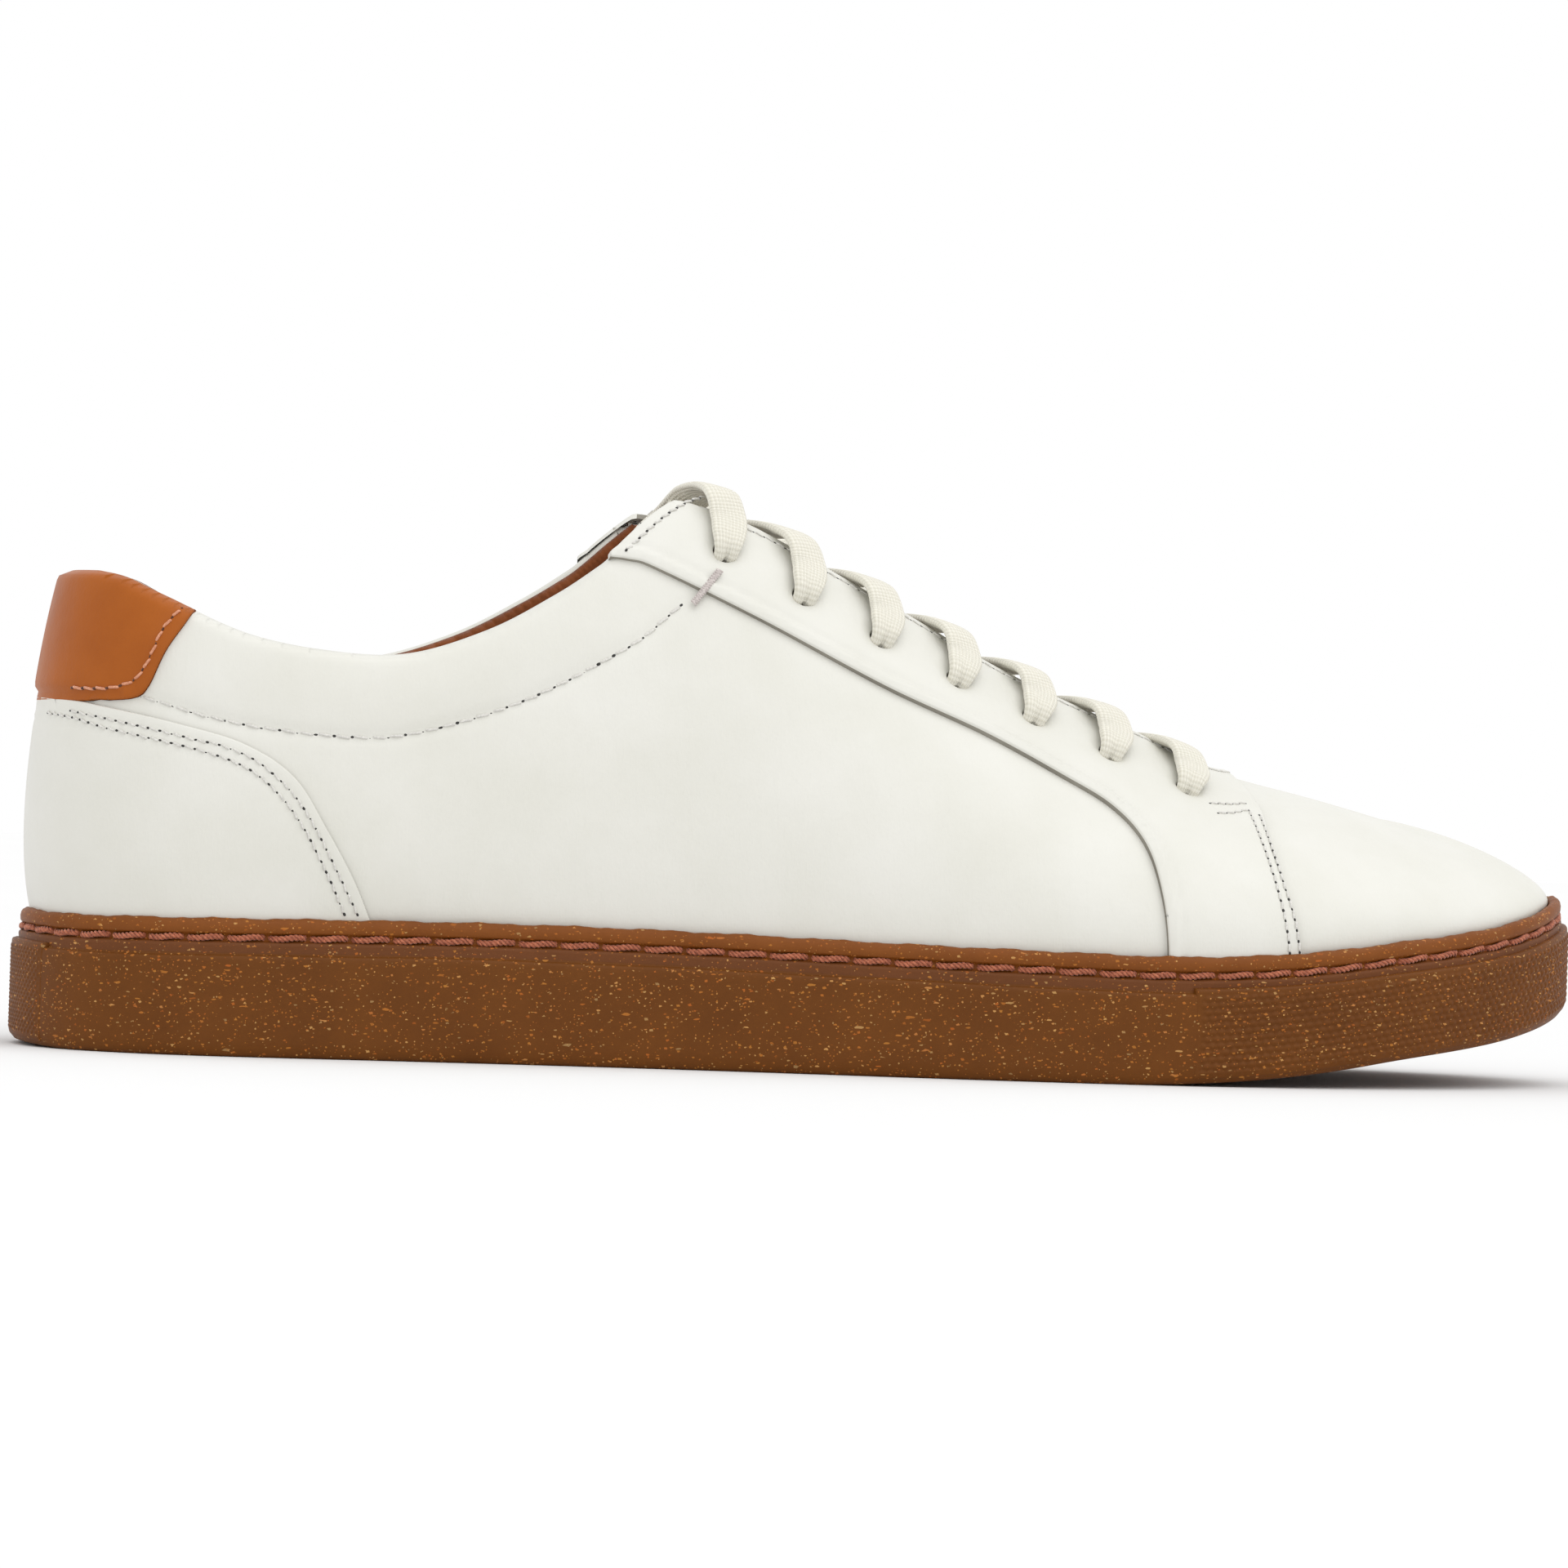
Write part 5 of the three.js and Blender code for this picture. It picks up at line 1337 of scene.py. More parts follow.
def counter():
    def inside(p, t):
        return in_polygon(p[:, 0], p[:, 2], COUNTER_REGION)

    lines = []
    for side, _ in SIDES:
        lines.append(("edge", _counter[side]))
        lines.append(("edge", level_edge(64.6, 63.0, side)))
    panel = Panel(inside, lines)
    edge_p = np.concatenate([skin(e[:, 0], e[:, 1]) for _, e in lines])

    def height(pl):
        d, _ = nearest(pl.p, edge_p)
        rows = -0.16 * np.exp(-(((d - 2.0) / 0.6) ** 2)) - 0.16 * np.exp(-(((d - 4.1) / 0.6) ** 2))
        return OVERLAY_TOP - 0.1 + rows + creases(pl.p)

    # Its cut edge faces are coloured darker, partly as painted shade under the raised edge.
    obj = panel.build("counter_overlay_leather", [WHITE, RAW_EDGE_SHADE], height, cut_rings, cut_from=3)
    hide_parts("counter_overlay")
    return panel


def heel_tab():
    def inside(p, t):
        return CLEAR & in_polygon(p[:, 0], p[:, 2], TAB_REGION)

    lines = []
    for side, _ in SIDES:
        lines.append(("edge", trimmed(_tab[side], below_collar)))
        lines.append(("edge", level_edge(63.4, 64.0, side)))
        lines.append(("collar", trimmed(_collar[side], lambda p: p[:, 0] < 30.4)))
    panel = Panel(inside, lines)
    edge_p = np.concatenate([skin(e[:, 0], e[:, 1]) for k, e in lines if k == "edge"])

    def height(pl):
        soft, _ = soft_shape(pl.p)
        d, _ = nearest(pl.p, edge_p)
        rows = -0.18 * np.exp(-(((d - 2.2) / 0.7) ** 2))
        return OVERLAY_TOP * 0.9 + soft + rows

    obj = panel.build("heel_tab_leather", [TAN, RAW_TAN], height, collar_rings, cut_from=4)
    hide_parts("heel_tab")
    return panel


panels = {"vamp": vamp(), "counter": counter(), "tab": heel_tab()}
for side, name in SIDES:
    panels[f"quarter_{name}"] = quarter(side, name)
    panels[f"eyestay_{name}"] = eyestay(side, name)

# ---------------------------------------------------------------- sole unit
def perimeter(step, start=0.0, end=1.0):
    """Parameters spaced evenly along the sole's outline."""
    t = np.linspace(start, end, 4001)
    p = outline(t)
    s = np.concatenate([[0], np.cumsum(np.linalg.norm(np.diff(p, axis=0), axis=1))])
    n = int(round(s[-1] / step))
    at = np.linspace(0, s[-1], n + 1)
    return np.interp(at, s, t), at


def sweep_faces(columns, rows, closed):
    n = columns if closed else columns - 1
    i = np.arange(n)[:, None]
    k = np.arange(rows - 1)[None, :]
    j = (i + 1) % columns
    a = i * rows + k
    b = j * rows + k
    return np.stack([a, b, b + 1, a + 1], -1).reshape(-1, 4)


def wavy(s, seed, sizes):
    """Slow irregular waviness along a length."""
    local = np.random.default_rng(seed)
    total = np.zeros_like(s)
    for wave, height in sizes:
        total += height * np.sin(2 * np.pi * s / wave * (1 + 0.07 * local.random()) + 6.28 * local.random())
    return total


TOE_PANEL_X = 213.5
HEEL_PANEL_X = 4.5
PANEL_PROUD = 0.8
WALL_IN = 0.55  # the plain wall stands in from the outline, which the toe and heel panels reach


def sole_wall():
    """Moulded sidewall: plain wall, ledge, band, stitch groove and raised welt."""
    t, s = perimeter(0.55)
    t, s = t[:-1], s[:-1]
    x0 = outline(t)[:, 0]
    wall = wall_height(x0)
    ledge = 0.12 * np.sin(s / 9) * np.sin(s / 23)
    lip = wavy(s, 5, ((17, 0.10), (6.3, 0.06), (2.9, 0.035)))
    profile = [  # inset, height over the underside
        (4.2, 0.0), (2.2, 0.0), (1.5, 0.15), (0.95, 0.7), (0.65, 1.6),
        (WALL_IN, 3.0), (WALL_IN, 6.0), (WALL_IN, 9.0), (WALL_IN, 12.0),
        (WALL_IN, wall - PANEL_TOP - 1.4 + ledge), (WALL_IN + 0.05, wall - PANEL_TOP - 0.7 + ledge),
        (WALL_IN + 0.2, wall - PANEL_TOP - 0.3 + ledge), (WALL_IN + 0.55, wall - PANEL_TOP - 0.05 + ledge),
        (1.6, wall - PANEL_TOP + ledge), (1.75, wall - PANEL_TOP + 0.35), (1.62, wall - GROOVE_LOW - 0.7), (1.7, wall - GROOVE_LOW - 0.25),
        (2.0, wall - GROOVE_LOW), (2.6, wall - GROOVE_LOW + 0.12), (2.95, wall - GROOVE_LOW + 0.4),
        (3.0, wall - 3.5), (2.95, wall - GROOVE_HIGH - 0.4), (2.6, wall - GROOVE_HIGH - 0.1),
        (2.1, wall - GROOVE_HIGH + 0.02), (1.9, wall - GROOVE_HIGH + 0.3), (1.85, wall - 1.6),
        (2.0, wall - 0.9), (2.3, wall - 0.4), (2.75, wall - 0.08 + lip), (3.3, wall + 0.02 + lip),
        (3.8, wall - 0.05 + lip), (4.15, wall - 0.35), (4.3, wall - 2.0), (4.35, wall - 6.0),
    ]
    rows = len(profile)
    points = np.empty((len(t), rows, 3))
    for k, (d, h) in enumerate(profile):
        p = inset(t, np.broadcast_to(np.asarray(d, float), t.shape))
        points[:, k, :2] = p
        points[:, k, 2] = underside(p[:, 0]) + h
    faces = sweep_faces(len(t), rows, True)
    band = faces[:, 0] % rows
    which = np.where(band >= 18, 2, np.where(band >= 14, 1, 0))
    obj = mesh_object("cupsole_wall", points.reshape(-1, 3), faces, [GUM, BAND, WELT], which=which)
    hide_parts("cupsole")


def sole_floor():
    """Outsole: herringbone tread round a plain waist, as real relief."""
    t, _ = perimeter(0.8)
    t = t[:-1]
    rim = inset(t, np.full(t.shape, 4.2))
    x = np.arange(-5, 306, 0.9)
    y = np.arange(-56, 57, 0.9)
    gx, gy = np.meshgrid(x, y, indexing="ij")
    inside = in_polygon(gx, gy, rim)
    d, _ = nearest(np.stack([gx, gy], -1).reshape(-1, 2), rim)
    d = d.reshape(gx.shape)
    fold = np.abs(((gy + 60) % 16) - 8)
    groove = 0.5 + 0.5 * np.cos(2 * np.pi * (gx + fold * 0.9) / 5.2)
    tread = smoothstep(groove, 0.62, 0.86) * smoothstep(d, 3.0, 3.8)
    waist = smoothstep(gx, 88, 92) * (1 - smoothstep(gx, 138, 142))
    height = 0.9 * tread * (1 - waist) + 0.5 * waist * smoothstep(d, 6, 6.8)
    z = underside(gx) + height
    near_rim = (d < 1.2) & inside
    number = np.full(gx.shape, -1)
    number[inside] = np.arange(inside.sum())
    points = np.stack([gx, gy, z], -1)[inside]
    snap = number[near_rim]
    _, index = nearest(points[snap][:, :2], rim)
    on_rim = np.abs(np.linalg.norm(points[snap][:, :2] - rim[index], axis=1)) < 0.75
    points[snap[on_rim], 0], points[snap[on_rim], 1] = rim[index[on_rim], 0], rim[index[on_rim], 1]
    points[snap[on_rim], 2] = underside(points[snap[on_rim], 0])
    a, b, c, e = number[:-1, :-1], number[:-1, 1:], number[1:, 1:], number[1:, :-1]
    quads = np.stack([a, b, c, e], -1).reshape(-1, 4)
    quads = quads[(quads >= 0).all(1)]
    obj = mesh_object("outsole_tread", points, quads, [GUM])
    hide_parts("cupsole")


def bumper(name, start, end, pattern, top_extra):
    """Textured rubber panel, proud of the sidewall, with its relief as real geometry."""
    t, s = perimeter(0.3, start, end)
    rows = 62
    f = np.linspace(0, 1, rows)
    x0 = outline(t)[:, 0]
    top = wall_height(x0) - PANEL_TOP + top_extra
    h = 0.5 + (top[:, None] - 0.5) * f[None, :]
    along_s = np.broadcast_to(s[:, None], h.shape)
    edge_d = np.minimum(np.minimum(along_s, s[-1] - along_s), np.minimum(h - 0.4, top[:, None] - h))
    body = PANEL_PROUD * np.sqrt(np.clip(1 - (1 - np.clip(edge_d / 0.8, 0, 1)) ** 2, 0, 1))
    relief = pattern(along_s, h) * smoothstep(edge_d, 1.0, 1.8)
    out = body + relief
    bevel = np.where(h < 1.6, (1.6 - h) ** 2 * 0.45, 0)
    p = inset(np.broadcast_to(t[:, None], h.shape), bevel - out + PANEL_PROUD + 0.45)
    z = underside(p[..., 0]) + h
    points = np.concatenate([p, z[..., None]], -1)
    # Closing rows back into the wall.
    back_top = np.concatenate([inset(t, np.full(t.shape, 2.4)), z[:, -1:]], -1)
    back_low = np.concatenate([inset(t, np.full(t.shape, 2.4)), z[:, :1]], -1)
    points = np.concatenate([back_low[:, None], points, back_top[:, None]], 1)
    first = points[0].copy()
    last = points[-1].copy()
    first[:, :2] = inset(t[:1], np.array([2.4]))
    last[:, :2] = inset(t[-1:], np.array([2.4]))
    points = np.concatenate([first[None], points, last[None]], 0)
    faces = sweep_faces(points.shape[0], points.shape[1], False)
    obj = mesh_object(name, points.reshape(-1, 3), faces, [GUM])
    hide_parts("cupsole")


def staggered(s, h):
    """Rows of small lozenge bumps, each row offset by half a step."""
    pitch, row = 1.75, 1.25
    k = np.floor(h / row)
    u = (s / pitch + 0.5 * (k % 2)) % 1 - 0.5
    w = (h / row) % 1 - 0.5
    r = np.sqrt((u / 0.46) ** 2 + (w / 0.44) ** 2)
    return 0.34 * np.clip(1 - r**2, 0, 1) ** 0.6


def crosshatch(s, h):
    """Fine crossed ribs."""
    a = np.cos(2 * np.pi * (s + h) / 1.5)
    b = np.cos(2 * np.pi * (s - h) / 1.5)
    return 0.16 * np.clip(a + b, -1, 2) / 2 + 0.08


ROPE_STRANDS = 3


def rope():
    """Three twisted strands that dip into the wall at the end of each stitch."""
    t, s = perimeter(0.33)
    t, s = t[:-1], s[:-1]
    total = s[-1] + 0.33
    count = int(round(total / 7.6))
    pitch = total / count
    phase = (s / pitch) % 1
    dip = 1.35 * np.exp(-(((phase - 0.5) / 0.05) ** 2)) ** 0.8
    arch = 0.22 * np.cos(2 * np.pi * phase)
    x0 = outline(t)[:, 0]
    depth = 2.42 + dip - arch
    centre_h = wall_height(x0) - (GROOVE_LOW + GROOVE_HIGH) / 2 + 0.18 * np.sin(2 * np.pi * phase)
    p = inset(t, depth)
    centre = np.concatenate([p, (underside(p[:, 0]) + centre_h)[:, None]], 1)
    e = 1e-4
    tangent = unit(np.concatenate([outline(t + e) - outline(t - e), np.zeros((len(t), 1))], 1))
    inward = np.stack([-tangent[:, 1], tangent[:, 0], np.zeros(len(t))], 1)
    up = np.array([0, 0, 1.0])
    twists = round(total / 2.6)
    ring_n = 7
    points = []
    faces = []
    for strand_k in range(ROPE_STRANDS):
        turn = 2 * np.pi * (s * twists / total + strand_k / ROPE_STRANDS)
        mid = centre + 0.33 * (np.cos(turn)[:, None] * inward + np.sin(turn)[:, None] * up)
        for k in range(ring_n):
            w = 2 * np.pi * k / ring_n
            points.append(mid + 0.31 * (np.cos(w) * inward + np.sin(w) * up))
        n = len(t)
        base = strand_k * ring_n * n
        i = np.arange(n)
        j = (i + 1) % n
        for k in range(ring_n):
            k2 = (k + 1) % ring_n
            faces.append(np.stack([base + k * n + i, base + k * n + j, base + k2 * n + j, base + k2 * n + i], 1))
    obj = mesh_object("sidewall_rope_stitch", np.concatenate(points), np.concatenate(faces), [ROPE])
    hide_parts("sidewall_stitch")


def outline_parameter(x, side):
    t = np.linspace(0, 0.5, 4001) if side < 0 else np.linspace(1, 0.5, 4001)
    return float(np.interp(x, np.maximum.accumulate(outline(t)[:, 0]), t))


sole_wall()
sole_floor()
bumper("toe_bumper_texture", outline_parameter(TOE_PANEL_X, -1), outline_parameter(TOE_PANEL_X - 6, 1), staggered, 0.9)
bumper("heel_bumper_texture", outline_parameter(HEEL_PANEL_X, 1) - 1, outline_parameter(HEEL_PANEL_X, -1), crosshatch, 0.9)
rope()

# ---------------------------------------------------------------- inside: lining, footbed, tongue
def lining_depth(p):
    low = smoothstep(p[:, 2] - collar_stitch_height(p[:, 0]), 0, 7)
    return 2.7 + COLLAR_PADDING * low * (1 - smoothstep(p[:, 0], 104, 124))


def lining():
    """Suede lining, one skin from the collar seam down to the footbed."""
    def inside(p, t):
        return CLEAR & (GRID_P[:, 0] < 400)

    lines = []
    for side, _ in SIDES:
        lines.append(("collar", trimmed(_collar[side], lambda p: p[:, 0] < 128)))
        lines.append(("throat", trimmed(_throat[side], below_collar)))
        for t, v in eyelet_tv[side]:
            lines.append(("hole", circle_on_skin(t, v, EYELET_RADIUS + 0.3)))
    holes = {side: outside_eyelets(side, EYELET_RADIUS + 0.3) for side in (-1, 1)}

    def inside_holes(p, t):
        ok = inside(p, t)
        for side in (-1, 1):
            ok &= holes[side](p) | ~by_side(side)
        return ok

    panel = Panel(inside_holes, lines)

    def height(pl):
        d, _ = nearest(pl.p, _collar_p)
        start = np.where(pl.p[:, 0] < 127.5, 0.9 * np.exp(-((d / 1.6) ** 2)), 0)
        return -(lining_depth(pl.p) - start)

    def rings(pl, verts, h):
        one = np.ones(len(verts))
        r = 2.3 - 1.3 * smoothstep(pl.p[verts, 0], 98, 118)
        collar = pl.tag[verts] == "collar"
        return [(np.where(collar, -1.9, 0.0) * one, np.where(collar, h + 0.3, h - 0.4)),
                (np.where(collar, -2.6, -0.2) * one, np.where(collar, h + 0.6, h - 0.9))]

    # The lining's rim sits below the rolled leather edge.
    for_rim = panel.tag == "collar"
    obj = panel.build(
        "lining_suede", [LINING_MAT], height, rings, low=lambda x: underside(x) + COVER_TOP - 1.5
    )
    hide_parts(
        "heel_lining", "quarter_lining_lateral", "quarter_lining_medial", "vamp_lining",
        "heel_counter_stiffener", "collar_foam", "toe_puff",
    )
    return for_rim


def footbed():
    """Leather-covered footbed, dished to the foot, with a rolled rim."""
    t, _ = perimeter(1.2)
    t = t[:-1]
    rings = np.concatenate([[0.0, 0.15, 0.4], np.linspace(0.9, 30, 26)])
    edge_d = UPPER_INSET + 3.6 + 0.3
    x_edge = inset(t, np.full(t.shape, edge_d))[:, 0]
    room = 4 * smoothstep(x_edge, 250, TOE_X)
    middle = np.stack([np.clip(x_edge, 40, 262), spine_sideways(np.clip(x_edge, 40, 262))], 1)
    points = []
    for k, d in enumerate(rings):
        rim = inset(t, edge_d + room)
        gap = np.linalg.norm(middle - rim, axis=1)
        f = np.clip(d / gap, 0, 1)
        p = rim + (middle - rim) * f[:, None]
        drop = [1.6, 0.35, 0.08][k] if k < 3 else 0
        cup = 1.3 * np.exp(-d / 7.0) * (1 - smoothstep(p[:, 0], 120, 200))
        arch = 2.0 * np.exp(-(((p[:, 0] - 120) / 34) ** 2)) * smoothstep(p[:, 1], 4, 30)
        z = underside(p[:, 0]) + COVER_TOP - drop + 0.25 * cup + 0.15 * arch
        points.append(np.concatenate([p, z[:, None]], 1))
    last = points[-1]
    n = len(t)
    faces = []
    i = np.arange(n)
    j = (i + 1) % n
    for k in range(len(rings) - 1):
        faces.append(np.stack([k * n + i, k * n + j, (k + 1) * n + j, (k + 1) * n + i], 1))
    faces = np.concatenate(faces).tolist()
    faces.append(list(range((len(rings) - 1) * n, len(rings) * n)))
    obj = mesh_object("footbed_top", np.concatenate(points), faces, [FOOTBED_MAT])
    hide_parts("footbed_cover")
    return last


TONGUE_TOP = 122
TONGUE_ROOT = 226
TONGUE_MARGIN = 11


def tongue():
    """Padded tongue: leather face, suede back, rounded rim."""
    x = np.linspace(TONGUE_TOP, TONGUE_ROOT, 40)
    half = throat_width(x) + TONGUE_MARGIN - 6 * smoothstep(x, 200, TONGUE_ROOT + 10)
    corner = np.linspace(0, np.pi / 2, 12)
    r = 8.0
    cx = TONGUE_TOP + r - r * np.cos(corner)
    first = float(half[0])
    mid = spine_sideways(x)
    body_x = x[x > TONGUE_TOP + r]
    body_half = half[x > TONGUE_TOP + r]
    px = np.concatenate([cx, body_x])
    ph = np.concatenate([first - r + r * np.sin(corner), body_half])
    lateral = np.stack([px, spine_sideways(px) - ph], 1)
    medial = np.stack([px, spine_sideways(px) + ph], 1)
    polygon = np.vstack([lateral, medial[::-1]])

    def inside(p, t):
        return in_polygon(p[:, 0], p[:, 1], polygon) & (p[:, 2] > 122 - 0.37 * p[:, 0] * 1.0 - 0.0)

    lines = []
    for side, rim in ((-1, lateral), (1, medial)):
        line = resample(rim, 0.6)
        t, v = locate(line[:, 0], line[:, 1], side, (0, 1))
        lines.append(("rim", np.stack([t, v], 1)))
    end = np.stack([np.full(30, TONGUE_TOP), np.linspace(lateral[0, 1], medial[0, 1], 30)], 1)
    for side in (-1, 1):
        keep = end[(end[:, 1] - spine_sideways(end[:, 0])) * side >= -0.01]
        t, v = locate(keep[:, 0], keep[:, 1], side, (0, 1))
        lines.append(("rim", np.stack([t, v], 1)))
    foot = np.stack([np.full(40, TONGUE_ROOT), np.linspace(lateral[-1, 1], medial[-1, 1], 40)], 1)
    for side in (-1, 1):
        keep = foot[(foot[:, 1] - spine_sideways(foot[:, 0])) * side >= -0.01]
        t, v = locate(keep[:, 0], keep[:, 1], side, (0, 1))
        lines.append(("rim", np.stack([t, v], 1)))
    panel = Panel(inside, [(k, e) for k, e in lines if len(e)], snap=0.5)
    edge_p = np.concatenate([skin(e[:, 0], e[:, 1]) for _, e in lines if len(e)])

    def face(pl):
        d, _ = nearest(pl.p, edge_p)
        seam = -0.5 * np.exp(-(((d - 5) / 0.7) ** 2))
        return -8.9 + 0.75 * smoothstep(d, 0, 4) + seam

    def back(pl):
        return np.full(len(pl.p), -12.5)

    def round_rim(pl, verts, h):
        one = np.ones(len(verts))
        return [(0.5 * one, h - 0.3), (0.9 * one, h - 1.0), (1.0 * one, h - 1.9), (0.8 * one, h - 2.8), (0.2 * one, h - 3.4)]

    outer = panel.build("tongue_padded_leather", [WHITE], face, round_rim, body="tongue")
    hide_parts("tongue_leather", "tongue_padding")
    inner = panel.build(
        "tongue_lining_suede", [LINING_MAT], back, lambda pl, verts, h: [(0.3 * np.ones(len(verts)), h + 0.5)], body="tongue"
    )
    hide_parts("tongue_lining")


lining()
footbed()
tongue()

# ---------------------------------------------------------------- stitching
def surface_height(panel_name, points):
    """Height of a built panel over the skin at points, from its nearest vertices."""
    panel = panels[panel_name]
    d, index = nearest(points, panel.p)
    return panel.h[index]


def stitch_line(side, points, smooth=True, step=0.1):
    """Evenly sampled (t, v) line on one side from side view points."""
    return edge(points, side, step, smooth=smooth)


def stitch_row(name, samples, panel_name, pitch, radius, mats, body="shoe", lift=0.12, gap=0.16,
               lean=0.12, start=0.0):
    """A row of lock stitches: each is a short twisted thread whose ends sink into needle holes, drawn as dark discs
    whose colour is painted shade.
    """
    t, v = samples[:, 0], samples[:, 1]
    p = skin(t, v)
    n = skin_normal(t, v)
    h = surface_height(panel_name, p)
    top = p + n * h[:, None]
    s = np.concatenate([[0], np.cumsum(np.linalg.norm(np.diff(top, axis=0), axis=1))])
    count = max(int(round((s[-1] - start) / pitch)), 1)
    real = (s[-1] - start) / count
    local = np.random.default_rng(len(name) * 31 + count)
    points, faces, which = [], [], []
    base = 0

    def at(d):
        d = np.clip(d, 0, s[-1])
        return (np.stack([np.interp(d, s, top[:, k]) for k in range(3)], -1),
                unit(np.stack([np.interp(d, s, n[:, k]) for k in range(3)], -1)))

    sections, around = 9, 7
    for i in range(count):
        a = start + i * real + real * gap / 2
        b = start + (i + 1) * real - real * gap / 2
        d = np.linspace(a, b, sections)
        q, m = at(d)
        tangent = unit(np.gradient(q, axis=0))
        across = unit(np.cross(tangent, m))
        f = np.linspace(-1, 1, sections)
        sway = local.normal(0, 0.03)
        arch = lift * (1 - f**4) - radius * 1.3 * f**8 + local.normal(0, 0.015)
        centre = q + m * arch[:, None] + across * (lean * f * 0.5 + sway)[:, None]
        fat = radius * (1 - 0.25 * f**6)
        angle = np.linspace(0, 2 * np.pi, around, endpoint=False)
        loop = centre[:, None] + fat[:, None, None] * (
            np.cos(angle)[None, :, None] * across[:, None] + np.sin(angle)[None, :, None] * m[:, None]
        )
        points.append(loop.reshape(-1, 3))
        for k in range(sections - 1):
            for j in range(around):
                j2 = (j + 1) % around
                faces.append((base + k * around + j, base + k * around + j2, base + (k + 1) * around + j2,
                              base + (k + 1) * around + j))
                which.append(0)
        faces.append(tuple(base + j for j in range(around))[::-1])
        faces.append(tuple(base + (sections - 1) * around + j for j in range(around)))
        which += [0, 0]
        base += sections * around
    # Needle holes: small dark discs just proud of the surface, painted shade of each hole.
    hole = 8
    for i in range(count + 1):
        q, m = at(np.array([start + i * real]))
        q2, _ = at(np.array([start + i * real + 0.05]))
        tangent = unit(q2 - q)[0] if np.linalg.norm(q2 - q) > 1e-6 else unit(at(np.array([s[-1]]))[0] - at(np.array([s[-1] - 0.1]))[0])[0]
        q, m = q[0], m[0]
        across = np.cross(tangent, m)
        size = radius * (1.25 + local.normal(0, 0.12))
        angle = np.linspace(0, 2 * np.pi, hole, endpoint=False)
        ring_a = q + m * 0.02 + size * (1.15 * np.cos(angle)[:, None] * tangent + 0.8 * np.sin(angle)[:, None] * across)
        ring_b = q + m * 0.055 + 0.55 * size * (np.cos(angle)[:, None] * tangent + 0.8 * np.sin(angle)[:, None] * across)
        low = q - m * 0.25 + size * (np.cos(angle)[:, None] * tangent + 0.8 * np.sin(angle)[:, None] * across)
        points.append(np.vstack([low, ring_a, ring_b]))
        for j in range(hole):
            j2 = (j + 1) % hole
            faces.append((base + j, base + j2, base + hole + j2, base + hole + j))
            faces.append((base + hole + j, base + hole + j2, base + 2 * hole + j2, base + 2 * hole + j))
            which += [1, 1]
        faces.append(tuple(base + 2 * hole + j for j in range(hole)))
        which.append(1)
        base += 3 * hole
    obj = mesh_object(name, np.vstack(points), faces, mats, body, which=which)
    return obj


GREY_MATS = [THREAD_GREY, HOLE_SHADE]
TAN_MATS = [THREAD_TAN, HOLE_TAN_SHADE]
TAB_STITCH = [
    [27.3, 80.9], [25.0, 78.0], [23.8, 75.6], [22.7, 72.6], [21.2, 69.6], [19.4, 67.4], [16.2, 66.1], [13.1, 65.8],
    [9.7, 65.8],
]
COUNTER_ROW_A = [
    [9.0, 61.7], [16.3, 60.2], [23.1, 58.8], [30.3, 57.2], [35.6, 56.1], [41.1, 53.8], [46.4, 49.6], [50.6, 44.6],
    [55.3, 36.5], [60.6, 26.6],
]
COUNTER_ROW_B = [
    [5.6, 61.2], [9.7, 60.4], [14.4, 58.9], [21.0, 57.5], [28.1, 56.0], [35.6, 54.0], [41.2, 51.4], [46.2, 47.0],
    [49.9, 42.2], [52.8, 37.3], [55.5, 32.2], [58.2, 26.6],
]
FRONT_ROW_LEFT = [[229.0, 50.0], [229.4, 43.4], [230.2, 36.7], [231.4, 29.4], [232.4, 23.2]]
FRONT_ROW_RIGHT = [[230.9, 49.2], [231.0, 43.3], [231.8, 36.3], [233.0, 31.1], [234.4, 23.2]]
THROAT_ROW_UPPER = [[220.9, 51.2], [225, 51.1], [229.0, 51.3]]
THROAT_ROW_LOWER = [[221.9, 49.4], [225, 49.5], [228.9, 50.1]]


def offset_samples(samples, distance, toward):
    """A line on the skin moved sideways by a distance, toward a given point of the skin."""
    t, v = samples[:, 0], samples[:, 1]
    p = skin(t, v)
    n = skin_normal(t, v)
    tangent = unit(np.gradient(p, axis=0))
    across = np.cross(tangent, n)
    if np.sum((toward - p[len(p) // 2]) * across[len(p) // 2]) < 0:
        across = -across
    goal = p + across * distance
    e = 1e-4
    for _ in range(6):
        here = skin(t, v)
        pt = (skin(t + e, v) - here) / e
        pv = (skin(t, v + e) - here) / e
        miss = goal - here
        a11, a12, a22 = (pt * pt).sum(1), (pt * pv).sum(1), (pv * pv).sum(1)
        b1, b2 = (pt * miss).sum(1), (pv * miss).sum(1)
        det = a11 * a22 - a12 * a12
        t = t + (b1 * a22 - b2 * a12) / det
        v = np.clip(v + (a11 * b2 - a12 * b1) / det, -0.03, 1)
    return np.stack([t, v], 1)


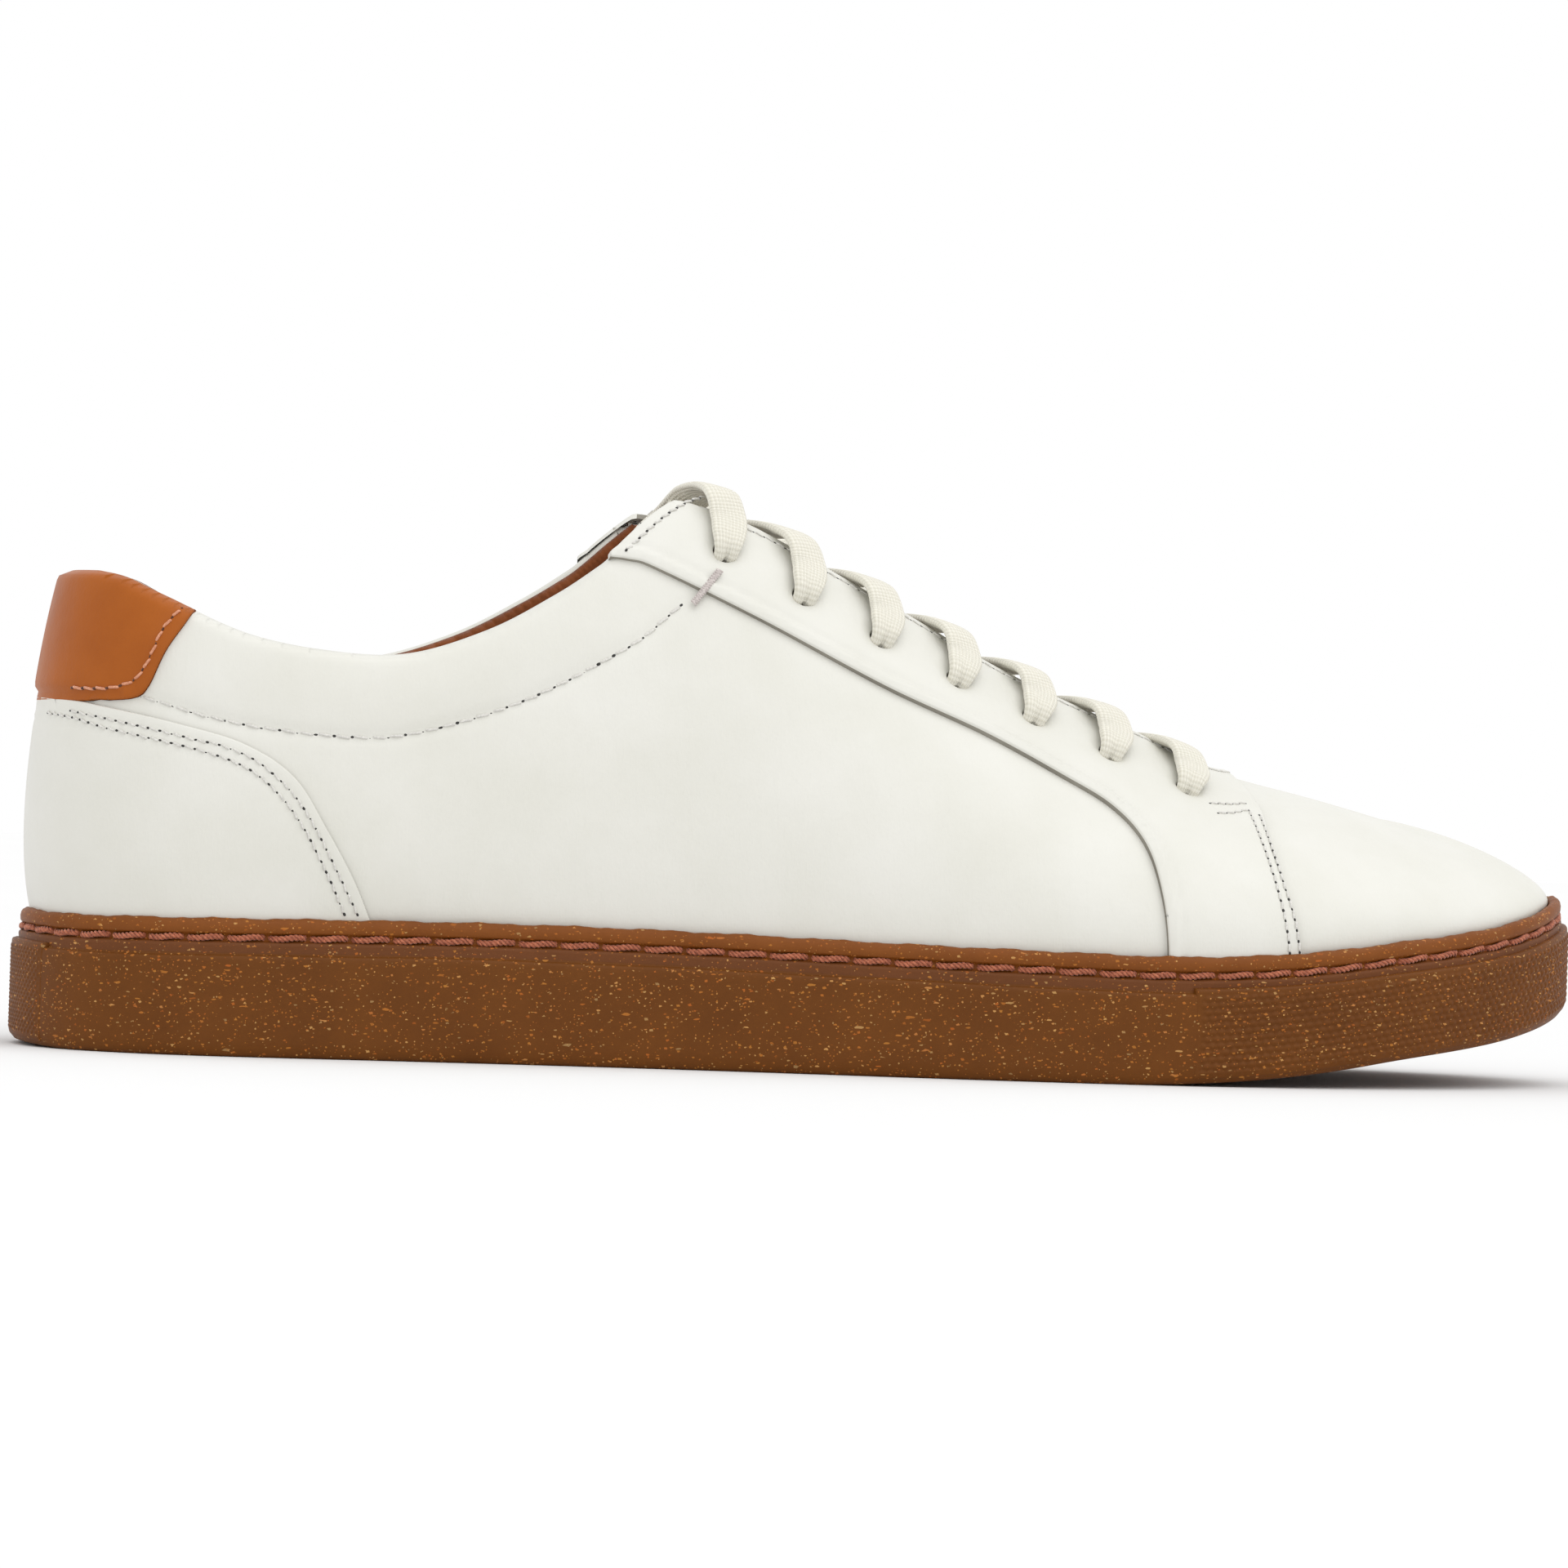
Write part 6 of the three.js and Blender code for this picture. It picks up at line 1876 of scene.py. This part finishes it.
def stitching():
    for side, name in SIDES:
        stitch_row(f"collar_stitching_{name}", stitch_line(side, [*COLLAR_STITCH[:-1], [116, 82.3], [119.6, 85.4]]),
                   f"quarter_{name}", 3.35, 0.26, GREY_MATS, lean=0.3)
        stitch_row(f"counter_stitching_upper_{name}", stitch_line(side, COUNTER_ROW_A), "counter", 2.25, 0.22, GREY_MATS,
                   lean=0.45)
        stitch_row(f"counter_stitching_lower_{name}", stitch_line(side, COUNTER_ROW_B), "counter", 2.25, 0.22, GREY_MATS,
                   lean=0.45)
        stitch_row(f"tab_stitching_{name}", stitch_line(side, TAB_STITCH), "tab", 2.75, 0.26, TAN_MATS, lean=0.35)
        for label, line in (("rear", FRONT_ROW_LEFT), ("front", FRONT_ROW_RIGHT)):
            panel = f"eyestay_{name}"
            stitch_row(f"toe_seam_stitching_{label}_{name}", stitch_line(side, line), panel, 2.05, 0.24, GREY_MATS,
                       lean=0.3)
        for label, line in (("upper", THROAT_ROW_UPPER), ("lower", THROAT_ROW_LOWER)):
            stitch_row(f"bar_stitching_{label}_{name}", stitch_line(side, line, smooth=False), f"eyestay_{name}", 2.05,
                       0.22, GREY_MATS, lean=0.4)
        toward = skin(np.array(eyelet_tv[side][3][0]), np.array(eyelet_tv[side][3][1]))
        rim = trimmed(_throat[side], lambda p: (p[:, 0] < 229.0) & (p[:, 0] > 130.0))
        stitch_row(f"throat_stitching_{name}", offset_samples(rim, 1.7, toward), f"eyestay_{name}", 2.3, 0.2, GREY_MATS,
                   lean=0.35)
        rear = trimmed(_collar[side], lambda p: (p[:, 0] > 107.8) & (p[:, 0] < 126.5))
        toward = skin(np.array(eyelet_tv[side][0][0]), np.array(eyelet_tv[side][0][1]))
        stitch_row(f"facing_stitching_{name}", offset_samples(rear, 1.8, toward), f"eyestay_{name}", 2.3, 0.24, GREY_MATS,
                   lean=0.5)


def bar_of_thread(name, start, end, side, width, turns, mats, height, tail=()):
    """A bartack: thread wound closely across a short line, lying on the leather."""
    t, v = locate([start[0], end[0]], [start[1], end[1]], side)
    a, b = skin(t, v)
    n = unit(skin_normal(t, v).sum(0))
    a, b = a + n * height[0], b + n * height[1]
    heading = unit(b - a)
    across = np.cross(heading, n)
    length = np.linalg.norm(b - a)
    count = turns * 14
    f = np.linspace(0, 1, count)
    angle = 2 * np.pi * turns * f
    mid = a + heading * (length * f)[:, None]
    line = mid + across * (width / 2 * np.cos(angle))[:, None] + n * (0.22 * np.abs(np.sin(angle)) ** 0.5 + 0.16)[:, None]
    tangent = unit(np.gradient(line, axis=0))
    u = unit(np.cross(tangent, n))
    w = np.cross(u, tangent)
    ring_n = 6
    ang = np.linspace(0, 2 * np.pi, ring_n, endpoint=False)
    r = 0.2
    loops = line[:, None] + r * (np.cos(ang)[None, :, None] * u[:, None] + np.sin(ang)[None, :, None] * w[:, None])
    faces = sweep_faces(count, ring_n, False).tolist()
    for i in range(count - 1):
        faces.append([i * ring_n + ring_n - 1, (i + 1) * ring_n + ring_n - 1, (i + 1) * ring_n, i * ring_n])
    faces.append(list(range(ring_n))[::-1])
    faces.append([(count - 1) * ring_n + k for k in range(ring_n)])
    obj = mesh_object(name, loops.reshape(-1, 3), faces, mats)
    return obj


def tacks():
    for side, name in SIDES:
        obj = bar_of_thread(f"bartack_{name}_thread", (121.6, 85.2), (126.8, 91.3), side, 1.15, 17, [THREAD_LILAC],
                            (0.75, OVERLAY_TOP + 0.4))
        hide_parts(f"bartack_{name}")


stitching()
tacks()
CORE_MATS = {
    "midsole_filler": suede("filler_foam", srgb(196, 186, 168), srgb(214, 206, 190), 0.1),
    "insole_board": suede("insole_board_fibre", srgb(176, 156, 118), srgb(200, 182, 144), 0.1),
    "footbed_foam": suede("footbed_foam_grey", srgb(88, 88, 84), srgb(112, 112, 106), 0.1),
}
for node_name, core in CORE_MATS.items():
    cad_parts[node_name].material_slots[0].material = core
